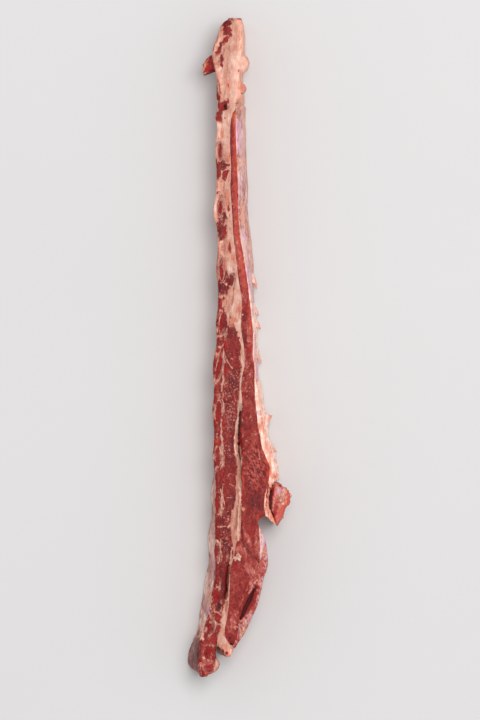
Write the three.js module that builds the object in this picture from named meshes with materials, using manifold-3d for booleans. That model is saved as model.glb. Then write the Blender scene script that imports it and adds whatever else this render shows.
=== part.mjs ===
// A full strip of raw beef short ribs, sawn across twelve ribs and lying on its rear sawn face.
// Millimetres. X runs across the strip, from the rib side to the fat side. Y runs along it, up to
// the end it was hung by. Z points up, out of the front sawn face, which is the side that shows.
import * as THREE from 'three';
import { mergeVertices } from 'three/addons/utils/BufferGeometryUtils.js';
import Module from 'manifold-3d';

const wasm = await Module();
wasm.setup();

// ---- Driving dimensions -------------------------------------------------------------------

const CUT_HEIGHT = 80; // from the rear sawn face to the front one
const UPPER_END = 461; // Y of the end it was hung by
const LOWER_END = -461; // Y of the other end
const GAP = 0.3; // clearance between two pieces that touch
const ROW_STEP = 14; // spacing of the cross-sections along Y
const LEVELS = [0, 0.34, 0.67, 1]; // heights of the wall points, as shares of the cut height
const COLUMNS = [0, 0.14, 0.5, 0.86, 1]; // points across a layer, as shares of its width
const EDGE_DROP = 1.4; // how far the front face falls away beside a seam
const RELIEF = 0.8; // swell of the front face
const RELIEF_SPREAD = [31, 17, 13, 29]; // spreads of that swell along Y and X, twice
const END_ROUND = 9; // rounding of the front face at both ends of the strip
const OUTER_ROUNDING = 1.5; // 1 is a straight outer side, more keeps it near its rear line
const HUNG_END_LEAN = 0.5; // how much of the lean the free outer edge at the hung end keeps
const RIB_SLANT = 15; // the rear end of a rib lies this much further up the strip
const RIB_BULGE_SPREAD = 15; // how far along Y a rib pushes the inner side out
const RIB_SIDES = 16; // flats round the oval of a rib
const POCKET_OVERRUN = 2; // how far the pocket of a rib is cut past both sawn faces
const MIN_WIDTH = 0.9; // the thinnest a layer gets where it runs out
const ABRUPT = 5; // the length along Y of an abrupt change
const END_STEPS = [0, 4, 10]; // cross-sections at these distances from both ends

// Where a layer starts, ends or changes abruptly, a cross-section lies exactly there.
const INNER_MUSCLE_TOP = 44;
const INNER_MUSCLE_END = -376;
const OUTER_MUSCLE_TOP = 330;
const OUTER_MUSCLE_END = -302;
const TONGUE_TOP = -241; // below it the outer muscle is only a tongue
const FAT_TIP_TOP = TONGUE_TOP + ABRUPT;
const FASCIA_TOP = 341;
const FASCIA_END = 64;
const OUTER_FAT_END = -248;
const LOBE_TOP = -272;
const LOBE_END = -416;
const FLAP_TOP = -250;
const FLAP_END = -421;
const INNER_FAT_END = -433;
const LUMP_TOP = -192;
const LUMP_END = -247;

// Across the strip at the front sawn face: [Y, X] of each line, from the hung end down.

// The inner side, without the swell that each rib gives it.
const INNER_SIDE = [
  [461, -12], [457, -20.5], [451, -26], [433, -31.5], [412, -39], [402, -38], [386, -33],
  [376, -30.5], [352, -32], [337, -29], [320, -34], [309, -31], [220, -31.5], [190, -31.5],
  [182, -33.5], [172, -30.5], [83, -29], [6, -31], [-15, -34], [-115, -35], [-214, -33],
  [-264, -32.5], [-328, -33], [-354, -38.5], [-376, -42], [-404, -51.5], [-418, -56],
  [-440, -57], [-461, -54],
];

// The inner side at the rear sawn face, where the lower end leans out under the membrane.
const INNER_SIDE_REAR = [
  [461, -8], [451, -21], [402, -30], [338, -19], [309, -21], [220, -20.5], [83, -24], [-15, -31],
  [-115, -34.5], [-174, -34.5], [-204, -39], [-225, -37.5], [-272, -43], [-293, -42],
  [-326, -46.5], [-370, -53.5], [-396, -57], [-416, -65], [-442, -73], [-451, -71], [-457, -63],
  [-461, -52],
];

// The line between the rib layer and what lies outside it.
const RIB_LAYER_LINE = [
  [461, -6.5], [436, -11], [402, -15], [360, -19], [338, -23], [309, -23], [281, -20.5],
  [258, -13.5], [246, -15], [229, -21], [195, -20], [180, -16], [156, -16.5], [142, -20],
  [111, -17], [93, -11.5], [71, -17.5], [33, -13], [4, -21], [-29, -18.5], [-62, -22.5],
  [-88, -20], [-110, -24.5], [-153, -21.5], [-220, -23], [-253, -26.5], [-286, -24],
  [-314, -27.5], [-340, -25.5], [-376, -23.5], [-387, -22.5], [-400, -25.5], [-424, -32.5],
  [-432, -32], [-443, -25.5], [-451, -29], [-457, -37], [-461, -43],
];

// The outer line of the marbled inner muscle.
const INNER_MUSCLE_LINE = [
  [44, -11.5], [38, -8], [24, -4.5], [4, 3], [-5, 5.5], [-12, 2], [-30, 4.5], [-53, 0],
  [-58, 3], [-79, -1.5], [-92, -1], [-106, -5], [-138, -7.5], [-166, -1.5], [-173, -4.5],
  [-186, -2.5], [-214, -5.5], [-255, -12], [-275, -8.5], [-288, -7.5], [-312, -17],
  [-331, -17.5], [-348, -19.5], [-363, -21.5], [-376, -21.5],
];

// The inner line of the seam fat below the end of the inner muscle.
const LAST_FAT_LINE = [
  [-376, -21.5], [-387, -21], [-398, -24], [-410, -28], [-419, -28], [-426, -25], [-433, -16.5],
];

// The outer line of the seam fat.
const SEAM_LINE = [
  [341, -3], [330, -7.5], [317, -11], [290, -12.5], [250, -10.5], [227, -12], [209, -10.5],
  [155, -7.5], [128, -4], [88, 0.5], [65, 4.5], [29, 3], [1, 7], [-20, 8], [-50, 3], [-83, 4.5],
  [-99, 1], [-130, -1.5], [-150, 1], [-173, 3], [-230, 3], [-267, 2], [-272, -2.5], [-292, -7],
  [-312, -12], [-334, -12.5], [-359, -13.5], [-387, -18], [-400, -21.5], [-408, -19],
  [-416, -13], [-422, -5.5], [-426, -8], [-433, -11.5],
];

// The free outer edge of the fat at the hung end, above the fascia.
const HUNG_END_EDGE = [
  [461, 4.5], [457, 7], [451, 8], [430, 9.5], [412, 9], [400, 7], [386, 6.5], [372, 5], [358, 8.5],
  [341, 9.5],
];

// The outer line of the outer muscle: beside the fascia and fat, and then of its tongue.
const OUTER_MUSCLE_LINE = [
  [341, -1], [321, -4], [276, -3.5], [227, -1], [186, -0.5], [159, 1.5], [128, 6.5], [102, 10.5],
  [65, 15.5], [15, 20], [-6, 19], [-30, 22], [-62, 22], [-93, 25], [-108, 26], [-120, 29],
  [-145, 33], [-153, 38], [-172, 44], [-183, 42], [-220, 35], [-236, 37.5], [-241, 26],
  [-255, 28.5], [-286, 29.5], [-302, 28.5],
];

// The outer side at the rear sawn face, where fascia and fat lean out into view.
const OUTER_SIDE_REAR = [
  [341, 9.5], [304, 10], [251, 11.5], [218, 13.5], [201, 12.5], [159, 17], [120, 21], [86, 20.5],
  [66, 22], [24, 26], [-38, 27.5], [-48, 31], [-59, 33.5], [-89, 36.5], [-99, 40], [-130, 43],
  [-152, 52], [-177, 56.5], [-186, 58], [-192, 50], [-208, 44], [-219, 43.5], [-237, 50],
  [-248, 52.5],
];

// The crease between the tongue of the outer muscle and the lobe below it, and the lobe's edge.
const CREASE_LINE = [
  [-267, 2.5], [-272, 5.5], [-279, 10.5], [-297, 24.5], [-302, 27], [-312, 24.5], [-331, 15],
  [-348, 5.5], [-359, 2.5], [-382, 0], [-410, -3.5], [-416, -8],
];

// The free outer edge of the flap, and the slit that runs down through the flap.
const FLAP_EDGE = [
  [-250, 29], [-261, 34], [-278, 39], [-302, 41], [-323, 35], [-340, 31.5], [-355, 28],
  [-368, 23.5], [-387, 14.5], [-401, 8], [-415, -1.5], [-425, -7.5],
];
const SLIT_LINE = [[-328, 26], [-356, 14.5], [-373, 6], [-390, 0]];
const SLIT_TOP = -328;
const SLIT_END = -386;
const SLIT_DEPTH = 24;
const SLIT_HALF_WIDTH = 2;
const SLIT_WIDEST_SHARE = 0.2; // and never wider than this share of the flap
const SLIT_RANGE = [0.28, 0.62]; // it stays between these shares of the flap's width

// The free edge of the lump of lean that hangs from the outer fat.
const LUMP_EDGE = [
  [-192, 57], [-200, 70], [-204, 73], [-214, 73.3], [-226, 64], [-237, 62], [-247, 54.5],
];
const LUMP_FLOOR = 34; // height of the lump's lowest point
const LUMP_ROW_STEP = 7;
const LUMP_CREVICE = 1; // the open crease between the lump and the fat it hangs from
const LUMP_FOOT_SHARE = 0.55; // its width at the foot, as a share of its fullest width
const LUMP_FULLEST = 5 / 6; // where it is fullest, as a share of its height

// How far the layers lean across between the rear face and the front one.
const LEAN = [
  [461, 4], [402, 7], [338, 10], [206, 11], [136, 10], [108, 9], [80, 5.5], [38, 4], [-18, 2.5],
  [-74, 1], [-130, 0], [-172, -1.5], [-214, -5], [-255, -7], [-298, -7.5], [-340, -10.5],
  [-424, -12], [-461, -12.5],
];

// How much of the outer side shows as a bevel at the front face.
const OUTER_BEVEL = [
  [341, 2], [66, 2], [-20, 2.2], [-45, 3], [-74, 5], [-150, 6], [-186, 6.5], [-208, 6],
  [-219, 6.5], [-236, 10.5], [-241, 23.5], [-248, 24.5],
];

// Half the width of the two open seams in the front face.
const OUTER_SEAM = [[-80, 0], [-100, 1.6], [-120, 2.6], [-138, 3.2], [-160, 2], [-176, 0]];
const TROUGH = [[-292, 0], [-315, 3.8], [-340, 3.8], [-362, 1.2], [-374, 0]];

// Each rib: Y and X of its sawn end, half its length along the strip, half its thickness, its
// tilt in degrees and how far it pushes the inner side out.
const RIBS = [
  { y: 276, x: -26.3, length: 17.5, thick: 4.4, tilt: 0, bulge: 2.8 },
  { y: 195, x: -27, length: 14, thick: 4.8, tilt: 0, bulge: 4.9 },
  { y: 111, x: -23.7, length: 18.8, thick: 4.7, tilt: 0, bulge: 2.8 },
  { y: 33, x: -22.5, length: 16.8, thick: 6, tilt: 0, bulge: 2.8 },
  { y: -29, x: -27.5, length: 21, thick: 5.2, tilt: 9, bulge: 3.1 },
  { y: -90, x: -28.7, length: 17.5, thick: 5.2, tilt: 4, bulge: 2.1 },
  { y: -153, x: -29, length: 15.4, thick: 5, tilt: 0, bulge: 2.2 },
  { y: -221, x: -28.8, length: 14.7, thick: 4, tilt: 0, bulge: 1.4 },
  { y: -287, x: -29, length: 16.1, thick: 3.6, tilt: 0, bulge: 1.4 },
  { y: -348, x: -32, length: 14.7, thick: 4.2, tilt: 8, bulge: 1.4 },
  { y: -393, x: -38, length: 12, thick: 5, tilt: 22, bulge: 1.4 },
  { y: -426, x: -44, length: 11.5, thick: 5, tilt: 10, bulge: 0.7 },
];

// Ragged flakes of fat on the outer side: Y where each starts, its length and how far its tip
// stands out, with the height and depth of the wall it hangs from.
const FLAKES = [
  { on: 'fascia', y: 113, length: 24, reach: 6.5, foot: 8, tall: 20 },
  { on: 'fat', y: 63, length: 20, reach: 5, foot: 4, tall: 24 },
  { on: 'fat', y: 42, length: 20, reach: 6, foot: 10, tall: 24 },
  { on: 'fat', y: 3, length: 26, reach: 5.5, foot: 5, tall: 30 },
  { on: 'fat', y: -84, length: 15, reach: 9, foot: 10, tall: 26 },
  { on: 'fat', y: -134, length: 16, reach: 4, foot: 6, tall: 20 },
];
const FLAKE_ROOT = 1.2; // how deep a flake is rooted in its wall
const FLAKE_ROOT_END = 0.84; // its root ends at this share of its length
const FLAKE_EDGE = [[0.3, 0.15], [0.75, 0.5], [1, 1], [0.07, 0.9]]; // shares of reach and length
const FLAKE_SOFTENING = 0.8;

// The torn flap beside the hung end: its outline in X and Y, and its height and depth.
const TORN_FLAP = {
  edge: [
    [-28, 420], [-38, 413], [-46, 402], [-50, 395], [-49.5, 388], [-47, 382.5], [-43, 386],
    [-34, 389], [-28, 391],
  ],
  foot: 34,
  tall: 38,
  soften: 2.5,
};

// The smooth knob on the outer side of the hung end, and the small tab below it.
const KNOB = { radii: [10, 14, 24], centre: [6, 399, 50] };
const TAB = {
  edge: [[0, 372], [5, 372], [10.5, 364], [7, 358], [0, 355]],
  foot: 26,
  tall: 36,
  soften: 1.5,
};

// The blind hole by which the strip was hung: a cone whose wide end stands over the front face.
const PIERCED_HOLE = { x: -17, y: 337, radius: 4.6, length: 44, over: 4 };

// The loose crumb: its place, its half thickness, and its petals round its middle.
const CRUMB = { x: -2.5, y: -293, over: 1.7, thick: 1.6 };
const CRUMB_PETALS = [
  { x: 0, y: 0, size: 3.2 },
  { x: 3, y: -3, size: 2.6 },
  { x: -4, y: 0, size: 2.4 },
  { x: 0, y: 4, size: 2.4 },
  { x: 4, y: 2, size: 1.8 },
];

// ---- Lines and walls ----------------------------------------------------------------------

// A smooth line through [Y, X] points that never overshoots between two of them.
function line(points) {
  const knots = [...points].sort((a, b) => a[0] - b[0]);
  const steps = knots.slice(1).map((knot, i) => knot[0] - knots[i][0]);
  const rises = knots.slice(1).map((knot, i) => (knot[1] - knots[i][1]) / steps[i]);
  const slopes = knots.map((_, i) => {
    if (i === 0) return rises[0];
    if (i === knots.length - 1) return rises[i - 1];
    const mean = (rises[i - 1] * steps[i] + rises[i] * steps[i - 1]) / (steps[i - 1] + steps[i]);
    const limit = Math.min(Math.abs(rises[i - 1]), Math.abs(rises[i]), Math.abs(mean) / 2);
    return (Math.sign(rises[i - 1]) + Math.sign(rises[i])) * limit;
  });
  return (y) => {
    if (y <= knots[0][0]) return knots[0][1];
    if (y >= knots.at(-1)[0]) return knots.at(-1)[1];
    const i = knots.findIndex((knot) => knot[0] > y) - 1;
    const h = steps[i];
    const t = (y - knots[i][0]) / h;
    const start = (1 + 2 * t) * (1 - t) ** 2 * knots[i][1] + t * (1 - t) ** 2 * h * slopes[i];
    const end = t * t * (3 - 2 * t) * knots[i + 1][1] + t * t * (t - 1) * h * slopes[i + 1];
    return start + end;
  };
}

const innerSide = line(INNER_SIDE);
const innerSideRear = line(INNER_SIDE_REAR);
const ribLayerLine = line(RIB_LAYER_LINE);
const innerMuscleLine = line(INNER_MUSCLE_LINE);
const lastFatLine = line(LAST_FAT_LINE);
const seamLine = line(SEAM_LINE);
const hungEndEdge = line(HUNG_END_EDGE);
const outerMuscleLine = line(OUTER_MUSCLE_LINE);
const outerSideRear = line(OUTER_SIDE_REAR);
const creaseLine = line(CREASE_LINE);
const flapEdge = line(FLAP_EDGE);
const slitLine = line(SLIT_LINE);
const lumpEdge = line(LUMP_EDGE);
const lean = line(LEAN);
const outerBevel = line(OUTER_BEVEL);
const outerSeam = line(OUTER_SEAM);
const trough = line(TROUGH);

const lerp = THREE.MathUtils.lerp;
const share = (z) => z / CUT_HEIGHT;
const leaning = (y, z) => lean(y) * (1 - share(z));
const slanted = (y, z) => y - RIB_SLANT * (1 - share(z));

// Every wall gives X for a place along the strip and a height, and both its neighbours use it.
const walls = {
  inner(y, z) {
    const swell = RIBS.reduce((sum, rib) => {
      return sum + rib.bulge * Math.exp(-(((slanted(y, z) - rib.y) / RIB_BULGE_SPREAD) ** 2));
    }, 0);
    return lerp(innerSideRear(y), innerSide(y), share(z)) - swell;
  },
  ribLayer: (y, z) => ribLayerLine(slanted(y, z)) + leaning(y, z),
  innerMuscle: (y, z) => innerMuscleLine(y) + leaning(y, z),
  fatStart(y, z) {
    if (y > INNER_MUSCLE_TOP) return walls.ribLayer(y, z);
    if (y > INNER_MUSCLE_END) return walls.innerMuscle(y, z) + openSeam(trough(y), z);
    return lastFatLine(y) + leaning(y, z);
  },
  fatEnd(y, z) {
    if (y > FASCIA_TOP) return hungEndEdge(y) - lean(y) * share(z) * HUNG_END_LEAN;
    return seamLine(y) + leaning(y, z) - openSeam(outerSeam(y), z);
  },
  muscleStart(y, z) {
    const front = y > LOBE_TOP + ABRUPT ? seamLine(y) : creaseLine(y);
    return front + leaning(y, z) + openSeam(outerSeam(y), z);
  },
  muscleEnd: (y, z) => outerMuscleLine(y) + leaning(y, z),
  outer(y, z) {
    const front = outerMuscleLine(y) + outerBevel(y);
    return lerp(outerSideRear(y), front, share(z) ** OUTER_ROUNDING);
  },
  crease: (y, z) => creaseLine(y) + leaning(y, z),
  flapStart(y, z) {
    if (y >= OUTER_MUSCLE_END) return walls.muscleEnd(y, z);
    return y >= LOBE_END ? walls.crease(y, z) : walls.fatEnd(y, z);
  },
  flap: (y, z) => flapEdge(y) + leaning(y, z),
};

// An open seam is as wide as it gets at the front face and shuts two thirds of the way up.
function openSeam(halfWidth, z) {
  const shut = LEVELS[2];
  return halfWidth * Math.max(0, (share(z) - shut) / (1 - shut));
}

// ---- Meshes and solids --------------------------------------------------------------------

const ENDS = [
  INNER_MUSCLE_TOP, INNER_MUSCLE_END, OUTER_MUSCLE_TOP, OUTER_MUSCLE_END, FASCIA_TOP, FASCIA_END,
  OUTER_FAT_END, LOBE_END, FLAP_TOP, FLAP_END, INNER_FAT_END, INNER_FAT_END - 2 * ABRUPT, LUMP_END,
  ...[TONGUE_TOP, LOBE_TOP, LUMP_TOP].flatMap((y) => [y, y + ABRUPT]),
  ...END_STEPS.flatMap((step) => [UPPER_END - step, LOWER_END + step]),
];

// The cross-sections along Y that all the layers share, so that their facets meet.
function allRows(ends, step) {
  const rows = new Set(ends);
  const [lowest, highest] = [Math.min(...ends), Math.max(...ends)];
  for (let y = lowest; y < highest; y += step) {
    if (ends.every((end) => Math.abs(end - y) > step / 3)) rows.add(y);
  }
  return [...rows].sort((a, b) => a - b);
}

const ROWS = allRows(ENDS, ROW_STEP);
const LUMP_ROWS = allRows([LUMP_TOP, LUMP_END], LUMP_ROW_STEP);

// The front face: a slow swell, falling away beside the seams and at the ends of the strip.
function frontHeight(x, y, besideSeam) {
  const [longY, shortX, shortY, longX] = RELIEF_SPREAD;
  const swell = RELIEF * Math.sin(y / longY + x / shortX) * Math.cos(y / shortY - x / longX);
  const fromEnd = Math.min(UPPER_END - y, y - LOWER_END, END_ROUND);
  const round = END_ROUND - Math.sqrt(END_ROUND ** 2 - (END_ROUND - fromEnd) ** 2);
  return CUT_HEIGHT + swell - round - (besideSeam ? EDGE_DROP : 0) - RELIEF;
}

// One layer: a lattice of box cells bent to fill the space between two walls.
function layer({ top, end, start, stop, floor = 0, groove, columns = COLUMNS, within = ROWS }) {
  const rows = within.filter((y) => y >= end && y <= top);
  const geometry = new THREE.BoxGeometry(
    1, 1, 1, columns.length - 1, rows.length - 1, LEVELS.length - 1);
  const place = geometry.getAttribute('position');
  for (let i = 0; i < place.count; i++) {
    const column = Math.round((place.getX(i) + 0.5) * (columns.length - 1));
    const row = Math.round((place.getY(i) + 0.5) * (rows.length - 1));
    const level = Math.round((place.getZ(i) + 0.5) * (LEVELS.length - 1));
    const y = rows[row] + (row === 0 ? GAP / 2 : 0) - (row === rows.length - 1 ? GAP / 2 : 0);
    const height = lerp(floor, CUT_HEIGHT, LEVELS[level]);
    const from = start(y, height) + GAP / 2;
    const to = Math.max(stop(y, height) - GAP / 2, from + MIN_WIDTH);
    const cut = groove ? groove(y, from, to, columns[column]) : { across: columns[column], depth: 0 };
    const x = lerp(from, to, cut.across);
    const atEdge = column === 0 || column === columns.length - 1;
    const isFront = level === LEVELS.length - 1;
    place.setXYZ(i, x, y, isFront ? frontHeight(x, y, atEdge) - cut.depth : height);
  }
  return matchDiagonals(geometry);
}

// Splits the cells of the box's -X wall along their other diagonal, so that the two walls that
// meet at a seam are made of the same triangles.
function matchDiagonals(geometry) {
  const index = geometry.getIndex();
  const wall = geometry.groups[1];
  for (let i = wall.start; i < wall.start + wall.count; i += 6) {
    const [a, b, d, c] = [0, 1, 2, 4].map((corner) => index.getX(i + corner));
    [a, b, c, a, c, d].forEach((corner, k) => index.setX(i + k, corner));
  }
  return geometry;
}

// A geometry as one closed solid, with its shared corners merged.
function solid(geometry) {
  const bare = geometry.clone();
  bare.deleteAttribute('normal');
  bare.deleteAttribute('uv');
  const merged = mergeVertices(bare, 1e-4);
  return new wasm.Manifold(new wasm.Mesh({
    numProp: 3,
    vertProperties: new Float32Array(merged.getAttribute('position').array),
    triVerts: new Uint32Array(merged.getIndex().array),
  }));
}

function geometryOf(body) {
  const { numProp, vertProperties, triVerts } = body.getMesh();
  const corners = new Float32Array((vertProperties.length / numProp) * 3);
  for (let i = 0; i < corners.length / 3; i++) {
    corners.set(vertProperties.subarray(i * numProp, i * numProp + 3), i * 3);
  }
  const geometry = new THREE.BufferGeometry();
  geometry.setAttribute('position', new THREE.BufferAttribute(corners, 3));
  geometry.setIndex(new THREE.BufferAttribute(new Uint32Array(triVerts), 1));
  geometry.computeVertexNormals();
  return geometry;
}

function joined(geometry, additions) {
  return geometryOf(additions.reduce((body, extra) => body.add(solid(extra)), solid(geometry)));
}

// Cuts pieces away, and drops any loose scrap that a cut leaves behind.
function without(geometry, removals) {
  const left = removals.reduce((body, cut) => body.subtract(solid(cut)), solid(geometry));
  return geometryOf(left.decompose().sort((a, b) => b.volume() - a.volume())[0]);
}

// An edge of [X, Y] points, thickened upwards from a height, whose two faces draw in a little.
function slab({ edge, foot, tall, soften }) {
  const outline = edge.map(([x, y]) => new THREE.Vector2(x, y));
  const shape = new THREE.Shape();
  shape.setFromPoints(new THREE.SplineCurve(outline).getPoints(outline.length));
  const geometry = new THREE.ExtrudeGeometry(shape, { depth: 1, steps: 3, bevelEnabled: false });
  const middle = new THREE.Vector2();
  outline.forEach((point) => middle.addScaledVector(point, 1 / outline.length));
  const heights = [0, soften, tall - soften, tall];
  const place = geometry.getAttribute('position');
  for (let i = 0; i < place.count; i++) {
    const level = Math.round(place.getZ(i) * 3);
    const point = new THREE.Vector2(place.getX(i), place.getY(i));
    const inward = middle.clone().sub(point).setLength(level % 3 === 0 ? soften : 0);
    place.setXYZ(i, point.x + inward.x, point.y + inward.y, foot + heights[level]);
  }
  return geometry;
}

// A rib: an oval bar that follows the slant and the lean of its layer through given heights.
function ribBar(rib, grow, heights) {
  const last = heights.length - 1;
  const geometry = new THREE.CylinderGeometry(1, 1, 1, RIB_SIDES, last).rotateX(Math.PI / 2);
  const place = geometry.getAttribute('position');
  const tilt = THREE.MathUtils.degToRad(rib.tilt);
  const inset = rib.x - walls.inner(rib.y, CUT_HEIGHT);
  for (let i = 0; i < place.count; i++) {
    const height = heights[Math.round((place.getZ(i) + 0.5) * last)];
    const z = THREE.MathUtils.clamp(height, 0, CUT_HEIGHT);
    const slant = RIB_SLANT * (1 - share(z));
    const across = place.getX(i) * (rib.thick + grow);
    const along = place.getY(i) * (rib.length + grow);
    const x = walls.inner(rib.y + slant, z) + inset;
    place.setXYZ(
      i,
      x + across * Math.cos(tilt) + along * Math.sin(tilt),
      rib.y + slant - across * Math.sin(tilt) + along * Math.cos(tilt),
      height,
    );
  }
  return geometry;
}

const WALL_HEIGHTS = LEVELS.map((level) => level * CUT_HEIGHT);
const POCKET_HEIGHTS = [-POCKET_OVERRUN, ...WALL_HEIGHTS, CUT_HEIGHT + POCKET_OVERRUN];

// ---- Sub-parts ----------------------------------------------------------------------------

function paint(color, roughness) {
  return new THREE.MeshStandardMaterial({ color, roughness, metalness: 0 });
}

const leanPaint = () => paint(0x9b4440, 0.5);
const darkLeanPaint = () => paint(0x8c3a38, 0.5);
const seamFatPaint = () => paint(0xdd9f82, 0.55);
const coverFatPaint = () => paint(0xf3caba, 0.5);
const fasciaPaint = () => paint(0xcfaabb, 0.35);
const bonePaint = () => paint(0xb0706a, 0.6);
const crumbPaint = () => paint(0xe6c3a6, 0.6);

function named(name, geometry, material) {
  const mesh = new THREE.Mesh(geometry, material);
  mesh.name = name;
  return mesh;
}

// The rib layer: the meat between and over the ribs, with the torn flap beside the hung end.
function ribMeat() {
  const body = layer({
    top: UPPER_END, end: LOWER_END, start: walls.inner, stop: walls.ribLayer,
  });
  const pockets = RIBS.map((rib) => ribBar(rib, GAP, POCKET_HEIGHTS));
  return named('rib_meat', joined(without(body, pockets), [slab(TORN_FLAP)]), leanPaint());
}

function ribBone(rib, index) {
  const name = `rib_bone_${String(index + 1).padStart(2, '0')}`;
  return named(name, ribBar(rib, 0, WALL_HEIGHTS), bonePaint());
}

// The fat that fills the hung end, widens beside the fourth rib and then runs on as a seam.
function innerFat() {
  const body = layer({
    top: UPPER_END, end: INNER_FAT_END, start: walls.fatStart, stop: walls.fatEnd,
  });
  const knob = new THREE.SphereGeometry(1, 10, 7).scale(...KNOB.radii).translate(...KNOB.centre);
  const whole = joined(body, [knob, slab(TAB)]);
  return named('inner_fat', without(whole, [piercedHole()]), seamFatPaint());
}

function piercedHole() {
  const { x, y, radius, length, over } = PIERCED_HOLE;
  const cone = new THREE.ConeGeometry(radius, length, 10).rotateX(-Math.PI / 2);
  return cone.translate(x, y, CUT_HEIGHT + over - length / 2);
}

function innerMuscle() {
  const body = layer({
    top: INNER_MUSCLE_TOP, end: INNER_MUSCLE_END, start: walls.ribLayer,
    stop: (y, z) => walls.innerMuscle(y, z) - openSeam(trough(y), z),
  });
  return named('inner_muscle', body, darkLeanPaint());
}

// The outer muscle, down to the pointed tongue over the lower lobe.
function outerMuscle() {
  const body = layer({
    top: OUTER_MUSCLE_TOP, end: OUTER_MUSCLE_END, start: walls.muscleStart, stop: walls.muscleEnd,
  });
  return named('outer_muscle', body, leanPaint());
}

// A ragged flake: a pointed slab drawn as its reach from the wall, then laid along the wall.
function flake({ y, length, reach, foot, tall }) {
  const edge = [
    [-FLAKE_ROOT, y],
    ...FLAKE_EDGE.map(([out, along]) => [out * reach, y - along * length]),
    [-FLAKE_ROOT, y - FLAKE_ROOT_END * length],
  ];
  const geometry = slab({ edge, foot, tall, soften: FLAKE_SOFTENING });
  const place = geometry.getAttribute('position');
  for (let i = 0; i < place.count; i++) {
    place.setX(i, place.getX(i) + walls.outer(place.getY(i), place.getZ(i)));
  }
  return geometry;
}

const flakesOn = (name) => FLAKES.filter(({ on }) => on === name).map(flake);

// The silvery skin on the outer side of the upper half.
function outerFascia() {
  const body = layer({
    top: FASCIA_TOP, end: FASCIA_END, start: walls.muscleEnd, stop: walls.outer,
    columns: [0, 0.5, 1],
  });
  return named('outer_fascia', joined(body, flakesOn('fascia')), fasciaPaint());
}

// The fat on the outer side of the lower half, down to the pointed scrap beside the lump.
function outerFat() {
  const body = layer({
    top: FASCIA_END, end: OUTER_FAT_END, stop: walls.outer, columns: [0, 0.4, 1],
    start: (y, z) => (y < FAT_TIP_TOP ? outerFatTip(y, z) : walls.muscleEnd(y, z)),
  });
  return named('outer_fat', joined(body, flakesOn('fat')), coverFatPaint());
}

// Below the upper part of the outer muscle the fat narrows to its free tip.
function outerFatTip(y, z) {
  const tip = walls.outer(OUTER_FAT_END, z) - MIN_WIDTH * 2;
  const left = (y - OUTER_FAT_END) / (FAT_TIP_TOP - OUTER_FAT_END);
  return lerp(tip, walls.muscleEnd(FAT_TIP_TOP, z), left);
}

function lowerLobe() {
  const body = layer({
    top: LOBE_TOP, end: LOBE_END, start: walls.fatEnd, stop: walls.crease,
  });
  return named('lower_lobe', body, leanPaint());
}

// The flap outside the lobe, with the dark slit that parts its outer strip.
function outerFlap() {
  const body = layer({
    top: FLAP_TOP, end: FLAP_END, start: walls.flapStart, stop: walls.flap,
    columns: [0, 1, 2, 3, 4, 5], groove: slitGroove,
  });
  return named('outer_flap', body, leanPaint());
}

// The six columns of the flap: both edges, the slit's floor between its two lips, and a middle.
function slitGroove(y, from, to, column) {
  const width = to - from;
  const centre = THREE.MathUtils.clamp((slitLine(y) - from) / width, ...SLIT_RANGE);
  const lip = Math.min(SLIT_HALF_WIDTH / width, SLIT_WIDEST_SHARE);
  const across = [0, centre - lip, centre, centre + lip, (centre + lip + 1) / 2, 1][column];
  const along = (y - SLIT_END) / (SLIT_TOP - SLIT_END);
  const open = Math.sin(Math.PI * THREE.MathUtils.clamp(along, 0, 1));
  return { across, depth: column === 2 ? SLIT_DEPTH * open : 0 };
}

function hangingLump() {
  const body = layer({
    top: LUMP_TOP, end: LUMP_END, floor: LUMP_FLOOR, within: LUMP_ROWS,
    start: (y, z) => walls.outer(y, z) + LUMP_CREVICE,
    stop: (y, z) => lerp(walls.outer(y, z), lumpEdge(y), lumpFullness(z)),
  });
  return named('hanging_lump', body, leanPaint());
}

// The lump is fullest below the front face and tapers down to its foot.
function lumpFullness(z) {
  const up = (z - LUMP_FLOOR) / (CUT_HEIGHT - LUMP_FLOOR);
  return lerp(LUMP_FOOT_SHARE, 1, Math.sin((Math.PI / 2) * (up / LUMP_FULLEST)));
}

// A loose crumb of fat like a small flower, lying on the lobe.
function fatCrumb() {
  const [heart, ...petals] = CRUMB_PETALS.map(({ x, y, size }) => {
    return new THREE.SphereGeometry(1, 6, 4).scale(size, size, CRUMB.thick).translate(x, y, 0);
  });
  const body = joined(heart, petals).translate(CRUMB.x, CRUMB.y, CUT_HEIGHT + CRUMB.over);
  return named('fat_crumb', body, crumbPaint());
}

const strip = new THREE.Group();
strip.add(ribMeat());
RIBS.forEach((rib, index) => strip.add(ribBone(rib, index)));
strip.add(innerFat(), innerMuscle(), outerMuscle(), outerFascia(), outerFat());
strip.add(lowerLobe(), outerFlap(), hangingLump(), fatCrumb());

// The origin lies under the middle of the strip's box, on the surface that it rests on.
const box = new THREE.Box3().setFromObject(strip);
const middle = box.getCenter(new THREE.Vector3());
strip.position.set(-middle.x, -middle.y, -box.min.z);

export default strip;
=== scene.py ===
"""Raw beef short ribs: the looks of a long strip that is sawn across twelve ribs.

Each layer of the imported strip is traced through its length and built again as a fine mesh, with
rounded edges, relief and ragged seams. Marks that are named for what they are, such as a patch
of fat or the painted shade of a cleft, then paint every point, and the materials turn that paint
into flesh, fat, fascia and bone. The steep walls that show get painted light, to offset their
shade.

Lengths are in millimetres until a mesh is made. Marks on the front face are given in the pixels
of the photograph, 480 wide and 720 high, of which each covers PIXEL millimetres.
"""
import functools
import math

import bpy
import numpy as np
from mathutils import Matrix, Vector
from mathutils.bvhtree import BVHTree


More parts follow.
